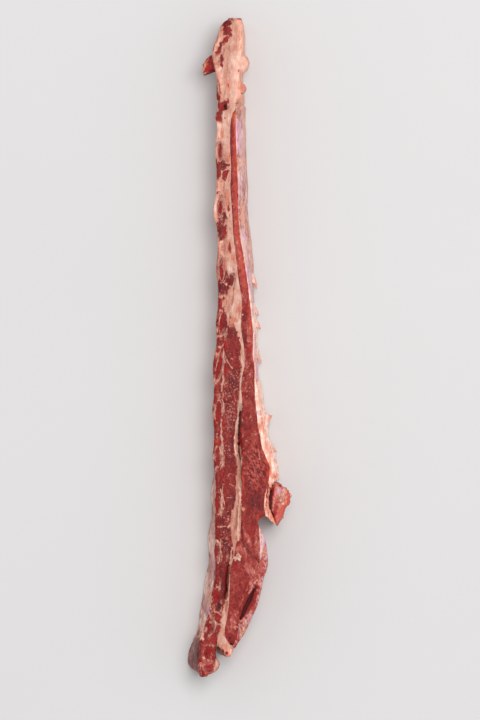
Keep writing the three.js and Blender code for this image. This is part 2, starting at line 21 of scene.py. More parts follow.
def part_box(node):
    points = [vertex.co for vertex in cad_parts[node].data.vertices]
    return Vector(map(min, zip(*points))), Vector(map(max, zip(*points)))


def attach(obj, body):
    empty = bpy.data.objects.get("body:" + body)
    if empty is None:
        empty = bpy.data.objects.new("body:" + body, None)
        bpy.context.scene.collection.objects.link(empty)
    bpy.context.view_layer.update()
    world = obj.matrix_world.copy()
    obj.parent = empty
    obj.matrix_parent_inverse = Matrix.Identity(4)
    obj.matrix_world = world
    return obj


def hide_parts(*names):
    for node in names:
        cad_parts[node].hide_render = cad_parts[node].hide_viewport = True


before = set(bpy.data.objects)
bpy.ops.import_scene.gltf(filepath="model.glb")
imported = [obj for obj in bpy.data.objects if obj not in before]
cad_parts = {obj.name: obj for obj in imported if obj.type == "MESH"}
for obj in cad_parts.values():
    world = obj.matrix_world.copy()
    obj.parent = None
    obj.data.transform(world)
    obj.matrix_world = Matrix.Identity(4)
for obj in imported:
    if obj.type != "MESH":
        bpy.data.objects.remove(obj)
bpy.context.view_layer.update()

bl_info = {
    "name": "Raw Beef Short Ribs",
    "version": (1, 0, 0),
    "blender": (4, 5, 0),
    "location": "3D View > Sidebar > Short Ribs",
    "description": "Dresses a packed strip of beef short ribs as lean, fat, fascia and bone",
    "category": "Object",
}

# ---- Sizes, in millimetres ------------------------------------------------------------------

METRE = 1000.0
PIXEL = 1.4  # what a pixel of the photograph covers on the front face
PHOTO_WIDTH, PHOTO_HEIGHT = 480, 720
PIXEL_OVER_ORIGIN = (238.75, 347.5)
FRONT = 79.2  # height of the front sawn face
MARK_DEPTH = 7.0  # about how far down a covered wall the paint of the front face reaches
FREE_MARK_DEPTH = 60.0  # the same for a wall that shows
FREE_WALL_POINTS = 56  # from the front edge of a wall that shows to its rear edge
OPEN_END_RINGS, SHUT_END_RINGS = 26, 5  # over an end that shows, and over one that is covered
END_DOME = 1.8  # how far an end that shows bulges
WALL_BLUR = 2.2  # how far along the strip the flats of a solid are blurred
OUTSIDE = 500.0  # from here, rays come in from beside the strip
FAR = 1e3  # further than any seam or edge matters
APART = 30.0  # what a missing seam or edge adds to the distance from it
LEAST_WIDTH = 0.5  # of a layer
END_MARGIN = 0.05  # what the first and last rows stay inside the ends of the solid
SEAM_ROUNDING = 0.1
SEAM_LEFT = 0.03  # what each layer stays clear of the middle of a closed seam
SHUT_GAP, OPEN_GAP = 3.7, 6.0  # seams up to the first width are closed, and wider ones stay open
FREE_ROUNDING = 4.0
HUNG_ROUNDING, HUNG_ROWS = 9.0, (322, 350)  # the hung end is rounder, from these rows up
REAR_ROUNDING = 1.4
END_ROUNDING = 5.0
POCKET_DEPTH = 2.2  # the rib layer lies this much lower where a rib fills it
HEIGHTS = np.array([1.5, 9, 18, 26, 30, 37, 45, 53, 58, 63, 68, 72, 76.0])

FRONT_SIDE, OUTER_SIDE, REAR_SIDE, INNER_SIDE, END_SIDE = range(5)


# ---- Noise ----------------------------------------------------------------------------------


def lattice_value(ix, iy, iz, seed):
    """A fixed number from -1 to 1 for each point of a whole-numbered lattice."""
    mixed = (ix * 73856093) ^ (iy * 19349663) ^ (iz * 83492791) ^ (seed * 1664525 + 1013904223)
    mixed = ((mixed ^ (mixed >> 13)) * 1274126177) & 0xFFFFFFFF
    mixed = ((mixed ^ (mixed >> 15)) * 668265263) & 0xFFFFFFFF
    return ((mixed >> 8) & 0xFFFF) / 32767.5 - 1


def value_noise(points, seed):
    """One octave of smooth noise, from -1 to 1."""
    base = np.floor(points).astype(np.int64)
    share = points - base
    share = share**3 * (share * (share * 6 - 15) + 10)
    total = np.zeros(len(points))
    for corner in range(8):
        offset = np.array([corner & 1, corner >> 1 & 1, corner >> 2 & 1])
        weight = np.prod(np.where(offset, share, 1 - share), axis=1)
        total += weight * lattice_value(*(base + offset).T, seed)
    return total


# Turns the lattice of each octave, so that its lines don't show: three directions at right angles.
TURN = np.array([[0.74, 0.54, -0.40], [-0.65, 0.73, -0.21], [0.18, 0.42, 0.89]])


def noise(points, size, seed, octaves=2):
    """Smooth noise, mostly from -0.7 to 0.7, whose blobs are about `size` across."""
    scaled = points / size
    total = np.zeros(len(points))
    for octave in range(octaves):
        scaled = scaled @ TURN * (1 if octave == 0 else 2.1) + 31.7
        total += value_noise(scaled, seed + octave) * 0.5**octave
    return total * 1.35 / (2 - 0.5 ** (octaves - 1))


def ramp(value, start, end):
    """0 below start, 1 above end, and smooth in between. Start may be the higher one."""
    share = np.clip((value - start) / (end - start), 0, 1)
    return share * share * (3 - 2 * share)


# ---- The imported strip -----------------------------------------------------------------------


def mesh_points(mesh):
    """The corners of a mesh."""
    points = np.zeros(len(mesh.vertices) * 3)
    mesh.vertices.foreach_get("co", points)
    return points.reshape(-1, 3)


def cad_points(node):
    """The corners of a solid, in millimetres."""
    return mesh_points(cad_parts[node].data) * METRE


def cad_tree(node):
    """A solid as something that rays can be shot at."""
    faces = [tuple(face.vertices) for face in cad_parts[node].data.polygons]
    return BVHTree.FromPolygons([Vector(p) for p in cad_points(node)], faces)


def box_of(node):
    """The lowest and the highest corner of a solid's box, in millimetres."""
    return (np.array(corner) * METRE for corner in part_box(node))


def fill_gaps(values):
    """Gives rows and heights that a ray missed the value of their nearest neighbour."""
    for line in (*values, *values.T):
        found = np.flatnonzero(~np.isnan(line))
        if len(found):
            line[:] = np.interp(np.arange(len(line)), found, line[found])
    return values


def bridge(values, rows, heights, patches):
    """Takes what stands out of a wall, such as a flake, off it: it is a mesh of its own."""
    for row_from, row_to, low, high in patches:
        inside = (rows > row_from) & (rows < row_to)
        keep = (heights < low) | (heights > high)
        for row in np.flatnonzero(inside):
            values[row] = np.interp(heights, heights[keep], values[row][keep])


def soften(values, rows, spread):
    """Blurs along the strip, so that the flats of the solid don't show."""
    step = rows[1] - rows[0]
    reach = int(math.ceil(2.5 * spread / step))
    kernel = np.exp(-0.5 * (np.arange(-reach, reach + 1) * step / spread) ** 2)
    padded = np.pad(values, ((reach, reach), (0, 0)), mode="reflect", reflect_type="odd")
    return np.apply_along_axis(np.convolve, 0, padded, kernel / kernel.sum(), mode="valid")


def trace_walls(node, rows, heights, patches=()):
    """Where the solid starts and stops across the strip, for each row and height."""
    tree = cad_tree(node)
    found = []
    for side in (-1, 1):
        wall = np.full((len(rows), len(heights)), np.nan)
        for i, row in enumerate(rows):
            for k, height in enumerate(heights):
                hit = tree.ray_cast(Vector((side * OUTSIDE, row, height)), Vector((-side, 0, 0)))[0]
                if hit is not None:
                    wall[i, k] = hit.x
        fill_gaps(wall)
        bridge(wall, rows, heights, [p[1:] for p in patches if p[0] == side])
        found.append(soften(wall, rows, WALL_BLUR))
    return found


# Where something that is a mesh of its own, such as a flake, stands out of a layer's wall: side,
# from and to along the strip, and from and to in height.
STANDS_OUT = {
    "rib_meat": [(-1, 380, 423, 32, 74)],
    "inner_fat": [(1, 353, 374, 24, 64)],
    "outer_fascia": [(1, 86, 114, 6, 30)],
    "outer_fat": [(1, 40, 64, 2, 30), (1, 20, 43, 8, 36), (1, -25, 4, 3, 37),
                  (1, -101, -82, 8, 38), (1, -152, -132, 4, 28)],
}
LUMP_FLOOR = 34.0  # the hanging lump doesn't reach further down than this
# How much further a layer's top end reaches here than its solid, to fill an empty corner.
GROWN = {"lower_lobe": 6.0}


@functools.cache
def walls_of(node):
    """The rows and heights of a layer, and where its walls are there, inner and outer."""
    low, high = box_of(node)
    rows = np.arange(low[1] + 0.4, high[1] - 0.4, 1.0)
    floor = LUMP_FLOOR if node == "hanging_lump" else 0.0
    heights = floor + HEIGHTS / HEIGHTS[-1] * (HEIGHTS[-1] - floor)
    walls = trace_walls(node, rows, heights, STANDS_OUT.get(node, ()))
    more = np.arange(1, GROWN.get(node, 0))
    drift = [(wall[-1] - wall[-4]) / 3 for wall in walls]
    walls = [np.vstack([wall, wall[-1] + more[:, None] * d]) for wall, d in zip(walls, drift)]
    return np.append(rows, rows[-1] + more), heights, *walls


def at_rows(wall, rows, wanted):
    """A traced wall at other rows."""
    return np.column_stack([np.interp(wanted, rows, column) for column in wall.T])


def at_height(wall, heights, height):
    """X of a traced wall at other heights, one row of them for each row of the wall."""
    index = np.clip(np.searchsorted(heights, height) - 1, 0, len(heights) - 2)
    share = (height - heights[index]) / (heights[index + 1] - heights[index])
    share = np.clip(share, -0.6, 1.6)
    low = np.take_along_axis(wall, index, axis=1)
    high = np.take_along_axis(wall, index + 1, axis=1)
    return low + (high - low) * share


class Oval:
    """The sawn end of a rib, read off its solid: middle, half sizes and tilt."""

    def __init__(self, ring):
        self.middle = ring.mean(axis=0)[:2]
        spread, axes = np.linalg.eigh(np.cov((ring - ring.mean(axis=0))[:, :2].T, bias=True))
        self.thick, self.length = np.sqrt(2 * spread)
        self.along = axes[:, 1] * np.sign(axes[1, 1])
        self.across = np.array([self.along[1], -self.along[0]])

    def place(self, across, along):
        """The places that lie some half sizes across and along from the middle."""
        return (self.middle + np.multiply.outer(across, self.across) * self.thick
                + np.multiply.outer(along, self.along) * self.length)

    def radius(self, points):
        """1 on the oval, less inside it."""
        away = points[:, :2] - self.middle
        return np.hypot(away @ self.across / self.thick, away @ self.along / self.length)


def rib_ovals(node):
    """The ovals of a rib at each height where its solid has corners, from the rear up."""
    points = cad_points(node)
    ovals = []
    for height in sorted(set(np.round(points[:, 2], 1))):
        ring = np.unique(np.round(points[np.abs(points[:, 2] - height) < 0.1], 3), axis=0)
        middle = ring.mean(axis=0)
        ring = ring[np.hypot(*(ring - middle)[:, :2].T) > 1.5]
        ovals.append((height, Oval(ring)))
    return ovals


SEAMED = ("rib_meat", "inner_fat", "inner_muscle", "outer_muscle", "outer_fascia", "outer_fat",
          "lower_lobe", "outer_flap")
RIBS = sorted(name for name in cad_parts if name.startswith("rib_bone"))
RIB_OVALS = {name: rib_ovals(name) for name in RIBS}


def sawn_ends(rib):
    """The front and the rear oval of a rib."""
    return RIB_OVALS[rib][-1][1], RIB_OVALS[rib][0][1]


def oval_at(rib, height):
    """The oval of a rib at any height, mixed from the two nearest."""
    ovals = RIB_OVALS[rib]
    heights = [level for level, _ in ovals]
    above = min(max(int(np.searchsorted(heights, height)), 1), len(ovals) - 1)
    (low, first), (high, second) = ovals[above - 1], ovals[above]
    share = (height - low) / (high - low)
    mixed = Oval.__new__(Oval)
    for part in ("middle", "thick", "length", "along", "across"):
        a, b = getattr(first, part), getattr(second, part)
        setattr(mixed, part, a + (b - a) * share)
    return mixed


# ---- Marks of the front face, in pixels of the photograph ------------------------------------

# What each kind of mark does to the paint: the value that each field moves to.
KINDS = {
    "cream fat": {"fat": 1, "tone": 0.68, "warm": 0.42, "skin": 0, "blood": 0},
    "white fat": {"fat": 1, "tone": 0.95, "warm": 0.46, "skin": 0, "blood": 0},
    "tan fat": {"fat": 1, "tone": 0.42, "warm": 0.46, "skin": 0, "blood": 0},
    "dull fat": {"fat": 1, "tone": 0.1, "warm": 0.42, "skin": 0, "blood": 0},
    "thread": {"fat": 0.66, "tone": 0.6, "warm": 0.48, "blood": 0},
    "salmon": {"fat": 0.75, "tone": 0.36, "warm": 0.84, "skin": 0},
    "pink": {"fat": 0.66, "tone": 0.45, "warm": 0.56, "skin": 0, "blood": 0},
    "rosy fat": {"fat": 0.85, "tone": 0.66, "warm": 0.72, "skin": 0},
    "coral": {"fat": 0.9, "tone": 0.7, "warm": 0.86, "skin": 0, "blood": 0.1},
    "orange": {"warm": 1.0},
    "lean": {"fat": 0, "tone": 0.5, "skin": 0, "blood": 0.1},
    "dark lean": {"fat": 0, "tone": 0.2, "skin": 0, "blood": 0.15},
    "pale lean": {"fat": 0.2, "tone": 0.92, "skin": 0},
    "red": {"fat": 0, "tone": 0.5, "skin": 0, "blood": 0.8, "warm": 0.55},
    "maroon": {"fat": 0, "tone": 0.1, "skin": 0, "blood": 0.5, "warm": 0.45},
    "lilac": {"skin": 1, "warm": 0.24, "tone": 0.6, "fat": 0},
    "pale skin": {"skin": 1, "warm": 0.5, "tone": 0.8, "fat": 0},
    "membrane": {"skin": 1, "warm": 0.74, "tone": 0.58, "fat": 0},
    "silver skin": {"skin": 1, "warm": 0.5, "tone": 1.0, "fat": 0},
    "bruised skin": {"skin": 0.5, "warm": 0.6, "tone": 0.1, "fat": 0, "dark": 0.55},
    "slate": {"skin": 1, "warm": 0.12, "tone": 0.2, "fat": 0, "dark": 0.1},
    "blue": {"warm": 0.1},
    "dim": {"tone": 0.15},
    "bright": {"tone": 0.95},
    # The next kind paints brown spots and also shade in creases, and the one after paints shade in
    # holes, cracks and clefts.
    "brown": {"dark": 0.5},
    "black": {"dark": 1.0},
    "marbled": {"marble": 1.0},
    "torn": {"torn": 1.0},
    "core": {"fat": 0, "tone": 0.4, "blood": 0.9},
    "dark core": {"fat": 0, "tone": 0.0, "blood": 0.7, "dark": 0.2},
}

# Patches: kind, pixel right and down, half its width and length, turn of its top to the right
# and, where it has no clear edge, how soft it is.
HUNG_END = [
    ("cream fat", 231, 60, 14, 50, 0, 0.3), ("tan fat", 228, 70, 3, 30, 0, 0.9),
    ("tan fat", 236.5, 36, 3.4, 13, 4, 0.9), ("tan fat", 227, 132, 3.4, 10, 0, 0.9),
    ("tan fat", 220.5, 38, 2.2, 20, 9), ("cream fat", 216.6, 47, 1.6, 11, 22),
    ("dark lean", 227.2, 23.5, 3.8, 6, 35), ("dark lean", 226.6, 31, 3.6, 5, 40),
    ("red", 229.4, 30.5, 2.2, 3.5, 30), ("lean", 224.2, 42, 2.6, 9.5, 40),
    ("red", 226.4, 38, 2.6, 4, 40), ("maroon", 219.5, 48.5, 2.2, 6.5, 28),
    ("red", 218.6, 51.4, 1.2, 3, 20), ("pink", 222.6, 50, 2.4, 6, 10),
    ("pink", 220.5, 62, 3.2, 8, 0), ("maroon", 221.8, 59.8, 1.4, 3.4, 0),
    ("red", 221.4, 65.2, 1.6, 1.8, 0), ("white fat", 219.5, 69, 1.5, 2.2, 20),
    ("coral", 218.5, 77, 2.2, 7, -4), ("lean", 218.3, 93, 2.2, 11, 0),
    ("pink", 218.6, 88, 1.2, 8, 0), ("orange", 240.5, 20.5, 3, 2.8, 0),
    ("coral", 240.4, 20.6, 2.6, 2.6, 0), ("red", 239.8, 18.8, 2.4, 1.0, 0),
    ("coral", 244.6, 45, 1.3, 11, 0), ("red", 234.8, 36, 0.7, 1.2, 0),
    ("coral", 234.8, 36, 1.4, 2.4, 0), ("cream fat", 244.5, 61, 6, 8, -25),
    ("tan fat", 246.6, 55, 1.5, 3.5, -40), ("cream fat", 233, 60, 5, 10, 10),
    ("cream fat", 237, 72, 4.5, 10, 0), ("red", 239.2, 70.8, 0.9, 1, 0),
    ("coral", 241.6, 74, 2.2, 6, 0), ("coral", 229, 84, 3.2, 10, 0),
    ("orange", 228.7, 86, 2.4, 5, 0), ("red", 228.6, 85.6, 0.8, 2.4, 0),
    ("coral", 235, 86, 5, 4.5, 0), ("coral", 242, 87, 4.5, 7, 0),
    ("orange", 243, 86, 3, 3.6, 0), ("red", 241.6, 92.4, 1, 0.9, 0),
    ("cream fat", 233.4, 98, 2.6, 13, 0), ("coral", 240.5, 101, 4, 9, 0),
    ("pink", 238, 106, 2, 6, 0), ("coral", 244, 100, 2, 9, 0),
    # The maroon and darkest marks at about 225, 106 are painted shade in the hole that the hook
    # went through.
    ("brown", 241.6, 108.3, 0.7, 0.7, 0), ("maroon", 224.6, 105, 4, 6, 0),
    ("black", 225.4, 106.4, 2.0, 3.2, 0), ("red", 228, 101.5, 1.0, 4, 0),
    ("red", 221.2, 109, 3, 6, 16), ("red", 218.4, 117.5, 3.0, 6, -6),
    ("dark lean", 220, 113, 1.8, 3.5, 12), ("orange", 215.3, 118, 0.9, 3, 0),
    ("cream fat", 227, 117.5, 4.5, 6, 0), ("pink", 229, 108, 1.4, 5, 0),
    ("red", 225.2, 118.3, 0.8, 1, 0), ("orange", 245.8, 117, 0.8, 3.4, 0),
]

UPPER_RIBS = [
    ("cream fat", 218.3, 131, 3.6, 9.5, 0), ("cream fat", 226.3, 136, 3.9, 14, 0),
    ("salmon", 221.3, 137, 0.9, 7, 0), ("pink", 227, 155.3, 3.5, 5, 0),
    ("salmon", 228.3, 156, 2.2, 4, 0), ("dark lean", 222.4, 165.6, 4.4, 6, 12),
    ("lean", 218.5, 172, 2.2, 8, 8), ("red", 229, 165.6, 1.5, 2.4, 50),
    ("black", 225.2, 167, 1.4, 0.5, 55), ("red", 225.3, 175, 2.5, 7.2, 28),
    ("maroon", 223.5, 178.5, 1.3, 3, 22), ("salmon", 228.6, 179, 1.2, 4, 12),
    ("pink", 223, 196, 7, 16, 0), ("tan fat", 219.5, 187, 3, 3.6, 0),
    ("red", 217.2, 193.1, 1.0, 1.3, 0), ("salmon", 227.6, 201, 2.6, 10, 0),
    ("red", 228.6, 208, 1.3, 3.5, 0), ("cream fat", 215.2, 205, 1.6, 16, 0),
    ("dark lean", 224.3, 216.5, 3.6, 4, 0), ("cream fat", 227.4, 215.3, 1.2, 2.2, -20),
    ("brown", 224.2, 215.5, 0.9, 1.2, 0), ("brown", 229.2, 216.7, 1.1, 2, 0),
    ("thread", 222.3, 216.3, 0.7, 2.6, 25), ("thread", 223, 226.3, 0.7, 2.4, 8),
    ("dark lean", 221.5, 230, 4.7, 10.5, 0), ("red", 224.3, 233.5, 1.9, 3.2, 0),
    ("pink", 229.2, 231.5, 2.6, 7.4, 0), ("cream fat", 229.4, 234.5, 1.7, 4.5, 0),
    ("pink", 224.4, 249, 6.2, 10.5, 0), ("salmon", 229.4, 248, 2.6, 9.5, -6),
    ("red", 229.8, 247, 1.1, 4, -6), ("cream fat", 221.5, 241.5, 1.3, 1.8, 25),
    ("tan fat", 218.2, 248, 1.8, 8, 0), ("tan fat", 226, 262, 5.4, 7, 0),
    ("cream fat", 231, 265, 3.6, 9, 0), ("salmon", 233, 258, 2.2, 5, -18),
    ("dull fat", 218, 268, 2, 14, 0), ("brown", 230.4, 275.5, 1.6, 3.2, 40),
    ("dark lean", 230.3, 283.6, 3.4, 9.5, 22), ("brown", 227.3, 280.5, 1.4, 2.2, 30),
    ("maroon", 229.7, 288.5, 2.2, 5, 28), ("cream fat", 226, 284.3, 1.1, 1.6, 0),
    ("dark lean", 221.8, 287, 3.6, 8.4, 0), ("black", 222.3, 290, 1, 1.3, 30),
    ("pink", 221.6, 296.2, 4.4, 2, -5), ("thread", 220, 297.8, 1.6, 0.6, 0),
    ("red", 219.1, 302.6, 2.3, 3.4, 0), ("orange", 216.9, 305, 0.8, 3.2, 0),
    ("pink", 225, 303, 2.4, 4.4, 0), ("salmon", 224.5, 302.7, 1, 3.2, 0),
]

FAT_WEDGE = [
    ("cream fat", 235.5, 300, 5, 15, -8), ("tan fat", 229.5, 302, 2.8, 15, 6),
    ("cream fat", 237, 316, 3.4, 15, -4), ("orange", 234.7, 319.5, 1.4, 1.8, 0),
    ("salmon", 234.8, 319.8, 2.4, 3, 0), ("lean", 230.7, 320, 1.5, 6, 0),
    ("salmon", 231.6, 323, 2.4, 7.5, 0), ("salmon", 239.5, 309, 2.2, 5, 0),
]

INNER_MUSCLE_MARKS = [
    ("dark lean", 232, 333, 5, 5, 0), ("maroon", 230, 331.6, 1.9, 2.2, 0),
    ("red", 225.4, 344.5, 3.4, 4.8, 25), ("lean", 234.5, 345, 5, 9, 0),
    ("thread", 238.2, 352.3, 0.8, 0.8, 0), ("red", 226.4, 370, 2.2, 6, 0),
    ("dark lean", 233, 385, 5, 12, 0), ("marbled", 231, 395, 8, 24, 0),
    ("marbled", 230, 418, 8, 16, 0), ("maroon", 230.4, 417.5, 1.7, 2.8, 0),
    ("maroon", 232.5, 437.5, 1.7, 13, 4), ("maroon", 232, 458, 1.8, 5, 0),
    ("dark lean", 226, 402, 3, 6, 0), ("lean", 225, 432, 2, 8, 0),
    ("red", 223.6, 424, 1.7, 8, 0), ("marbled", 228, 450, 5, 8, 0),
    ("red", 222.6, 474, 1.5, 8, 0), ("maroon", 230.5, 470, 3, 3, 0),
    ("lean", 229, 490, 6, 12, 0), ("dark lean", 232.6, 502, 2.2, 9, 0),
    ("marbled", 226, 515, 5, 9, 0), ("cream fat", 228.8, 526.6, 1.1, 2.2, 20),
    ("dark lean", 226.5, 542, 4.6, 14, 0), ("marbled", 225.5, 542, 5, 14, 0),
    ("brown", 229.5, 549, 1.3, 6, 0), ("dull fat", 227.2, 559, 1.2, 4.4, 10),
    # The maroon and darker marks down the trough at about 225, from 565 to 612, are partly painted
    # shade in the trough, over dark red lean.
    ("dark lean", 220.3, 571, 3.2, 9, 0), ("maroon", 225.4, 577, 2.4, 12, 4),
    ("maroon", 225.4, 586, 3.6, 22, 4), ("brown", 225, 590, 1.9, 16, 6),
    ("black", 219, 606.5, 1.5, 3, 0), ("maroon", 218, 600, 3.5, 10, 0),
]

OUTER_MUSCLE_MARKS = [
    ("orange", 234.6, 121, 1.4, 16, 0), ("orange", 236, 150, 1.2, 24, -3),
    ("salmon", 235.6, 122, 0.7, 12, 0), ("red", 233, 136, 1.2, 6, 0),
    # The maroon and darkest marks at about 231, from 121 down to 250, are painted shade in the
    # crease beside the seam, over the darker red of the muscle's edge.
    ("brown", 230.3, 141, 0.8, 2.6, 0), ("maroon", 231.6, 131, 0.9, 10, 0),
    ("maroon", 231.3, 158, 0.8, 26, 0), ("maroon", 231.6, 212, 1.2, 28, -3),
    ("black", 231.4, 221, 0.8, 9, 0), ("orange", 236.9, 210, 0.9, 26, -3),
    ("orange", 239.3, 237.5, 1.2, 3.4, 0), ("maroon", 233.6, 246, 0.9, 12, -9),
    ("orange", 242.8, 268, 1.1, 18, -8), ("maroon", 237.6, 275, 1.0, 9, -10),
    ("pale lean", 238, 245, 2, 28, -9), ("red", 246.2, 307, 2.2, 3.6, 0),
    ("maroon", 244.5, 315, 2.4, 5, 0), ("red", 248.2, 349.8, 3.2, 3.8, 0),
    ("maroon", 245, 338, 3, 8, 0), ("orange", 250.5, 322, 1.2, 26, -3),
    ("pale lean", 248.5, 333, 2.2, 14, 0), ("orange", 253.3, 352, 1.1, 9, 0),
    ("red", 246.6, 408.9, 1.3, 1.6, 0), ("thread", 242.9, 314.8, 0.7, 0.7, 0),
    ("thread", 247, 386.4, 0.6, 0.9, 0), ("thread", 246.4, 396, 1.2, 0.5, 0),
    ("marbled", 247, 372, 5, 26, 0), ("torn", 254, 467, 10.5, 26, 0),
    ("brown", 258, 471.5, 3.6, 3.2, -50), ("dull fat", 246.4, 441, 0.8, 0.8, 0),
    ("orange", 267, 459, 1.9, 5, -8), ("red", 267.5, 474, 2.3, 7.6, 4),
    ("orange", 267.6, 474, 1.8, 6.5, 4), ("orange", 243.2, 485, 1.3, 13, -6),
    ("red", 243.8, 497.3, 2.1, 6, 0), ("lean", 244.5, 478, 3, 12, -8),
    ("dim", 254.5, 500, 7.5, 12, 0), ("salmon", 243.7, 508.5, 1.6, 2.4, 0),
    ("orange", 259.5, 515, 6, 1.8, 75), ("red", 259.5, 514.6, 4, 1.3, 75),
    ("lean", 249.5, 525, 7, 12, 0), ("brown", 247.2, 523.8, 0.9, 0.9, 0),
    ("maroon", 241.8, 531, 1.2, 9, -6), ("red", 252, 532, 4, 7, 0),
    ("orange", 257.4, 520, 0.8, 6, 0), ("pale lean", 257, 545, 2.6, 9, -8),
    ("pale lean", 248, 538, 2.4, 6, -22),
]

OUTER_SIDE_MARKS = [
    ("lilac", 239.5, 131, 3.6, 24, -2), ("pink", 238, 112, 2, 8, 0),
    # The pale skin patch at 242.6, 136 is partly painted highlight: glints on the wet fascia.
    ("lilac", 245, 128, 1.4, 14, 0), ("pale skin", 242.6, 136, 1.2, 8, -3),
    ("silver skin", 243, 162, 5, 10, 0), ("pink", 238.5, 158, 2, 4, 0),
    ("red", 238.6, 165.4, 0.9, 2, 0), ("salmon", 238.6, 166, 1.8, 4, 0),
    # The blue patch at 241.6, 176 is painted shade in the crescent cut of the fascia.
    ("brown", 242.8, 148, 0.7, 4.5, 0), ("blue", 241.6, 176, 2.4, 7, 12),
    ("pale skin", 239.5, 178, 1.2, 9, 0), ("rosy fat", 246.4, 186, 2.2, 15, -2),
    ("orange", 247.6, 189, 0.9, 5, 0), ("lilac", 239.8, 202, 1.8, 16, -2),
    ("cream fat", 243, 163, 3.4, 7, -4, 0.8), ("rosy fat", 246.4, 220, 4, 15, -6, 0.5),
    ("pink", 245.5, 220, 5, 18, -4, 0.8), ("coral", 245.5, 212, 4.4, 12, -8, 0.8),
    ("coral", 247, 228, 3.4, 12, -8, 0.8),
    ("red", 245.6, 209.5, 0.8, 1.0, 0), ("red", 246.2, 219, 0.7, 0.8, 0),
    ("brown", 246, 228, 0.6, 0.8, 0), ("orange", 248.2, 231.5, 1.2, 3.4, 0),
    ("pale skin", 244, 244, 3.2, 15, -6), ("lilac", 244.4, 238, 1, 6, -28),
    ("salmon", 250.2, 242, 1.4, 10, -6), ("pale skin", 246.5, 258, 2.6, 8, -6),
    ("orange", 250.6, 261, 1.4, 4.5, -22), ("lilac", 248.8, 280, 2.4, 16, -8),
    ("pale skin", 251.5, 300, 1.6, 12, -4), ("pale skin", 252.2, 330, 1.6, 30, -5),
    ("lilac", 256.6, 345, 1.4, 12, -4), ("pale skin", 254.5, 352, 1.5, 12, 0),
    ("lilac", 256.9, 372, 1.7, 14, -2), ("salmon", 253.6, 378, 0.9, 14, 0),
    ("cream fat", 259, 395, 4, 12, -3), ("lilac", 259.2, 412.5, 2.4, 2.2, 60),
    ("brown", 258.4, 396, 0.5, 1.2, 0), ("salmon", 262.6, 396, 1, 9, 0),
    ("tan fat", 262, 421, 2.4, 4, 0, 0.7), ("orange", 264, 428, 2.6, 3.5, -20),
    ("salmon", 259.6, 428, 1.8, 5, 0), ("white fat", 269, 417, 3, 1.4, 78),
    ("cream fat", 264.5, 445, 3.4, 14, -10), ("coral", 271, 457, 3, 12, -14, 0.9),
    ("salmon", 272, 448, 1.6, 6, -18), ("dim", 266.4, 499, 2.4, 13, 4, 0.9),
    ("white fat", 273, 462, 3.2, 9, -12), ("salmon", 270.5, 470, 1.4, 10, -4),
    ("brown", 269.6, 468, 0.6, 3, 8), ("salmon", 274.5, 476, 2.6, 4.5, -30),
    ("cream fat", 266.5, 497, 2.6, 15, 8), ("salmon", 268.8, 505, 2.4, 6, 0),
    ("salmon", 271.5, 515, 2.6, 8, -14), ("orange", 275, 521, 2, 4, -25),
    ("pink", 268, 512, 1.6, 6, -10), ("salmon", 268.4, 498, 1.8, 13, 4),
    ("red", 267, 494, 1.0, 9, 4), ("maroon", 270.4, 496, 0.8, 10, 4),
]

# Most pale lean marks here are partly painted sheen on the rounded lobe and flap, and partly paler
# lean; the maroon mark at 250.4, 595 is painted shade along the slit.
LOBE_MARKS = [
    ("pale lean", 237.5, 549, 2.2, 5, 15), ("pale lean", 244, 552, 3, 6, -35),
    ("pale lean", 248, 567, 4, 8, -20), ("red", 236, 567, 2.4, 5, 0),
    ("red", 245, 590, 4.5, 9, 0), ("lean", 238, 600, 5, 18, 10),
    ("maroon", 246.5, 590, 2.4, 3.6, 0), ("pale lean", 233.5, 622, 3.5, 9, 14),
    ("red", 230.6, 636.6, 3.8, 3.4, 20), ("maroon", 231.4, 639.6, 3, 3.4, -25),
    ("black", 229.8, 638.2, 1.5, 1.6, 0), ("orange", 228.5, 643.8, 2, 1.3, 80),
    ("maroon", 236.6, 628, 0.9, 1.4, 0), ("salmon", 235.7, 627.6, 1.8, 2.2, 0),
    ("pale skin", 260.4, 546, 1.3, 15, -3), ("lilac", 263.6, 541, 2, 6.5, -4),
    ("salmon", 266, 548.4, 1.8, 2.4, 0), ("orange", 266, 548.6, 1.2, 1.6, 0),
    ("salmon", 263.9, 555.4, 1.8, 2, 0), ("orange", 264, 555.6, 1.2, 1.4, 0),
    ("brown", 266, 566.4, 1.1, 1.6, 0), ("pale lean", 260, 570, 4.5, 12, 15),
    ("pale lean", 254.5, 582, 2.4, 8, 28), ("pale lean", 250, 604, 3.4, 14, 24),
    ("orange", 258.6, 586.6, 2.2, 3.6, 8), ("red", 258.4, 588, 1.8, 3, 8),
    ("black", 255.9, 588.4, 0.9, 1.8, 10), ("maroon", 250.4, 595, 1.8, 9, 30),
    ("red", 253.5, 600, 2.2, 8, 18), ("pale lean", 254.5, 608, 2, 7, 20),
    ("salmon", 241.5, 620, 2.4, 3, 20), ("pink", 242.5, 633, 2.6, 8, 24),
    ("pale lean", 237.3, 641.5, 2.2, 6, 14),
]

TIP_MARKS = [
    ("cream fat", 224.8, 614, 2.4, 17, 7), ("dull fat", 227, 603, 1.2, 9, 4),
    ("cream fat", 225, 642, 4.6, 9, 0), ("tan fat", 219.5, 640, 1.8, 8, 4),
    ("cream fat", 230, 651, 3.6, 5.4, 0), ("red", 222.8, 651, 2, 1, 85),
    ("coral", 228, 654, 4, 3, -20), ("orange", 226, 647, 2.4, 4, -20),
    ("orange", 228.5, 655.6, 2.6, 2.6, -20), ("red", 226.6, 653.4, 1.5, 1.7, -30),
    ("orange", 230.6, 656.8, 1.6, 1.4, 0),
]

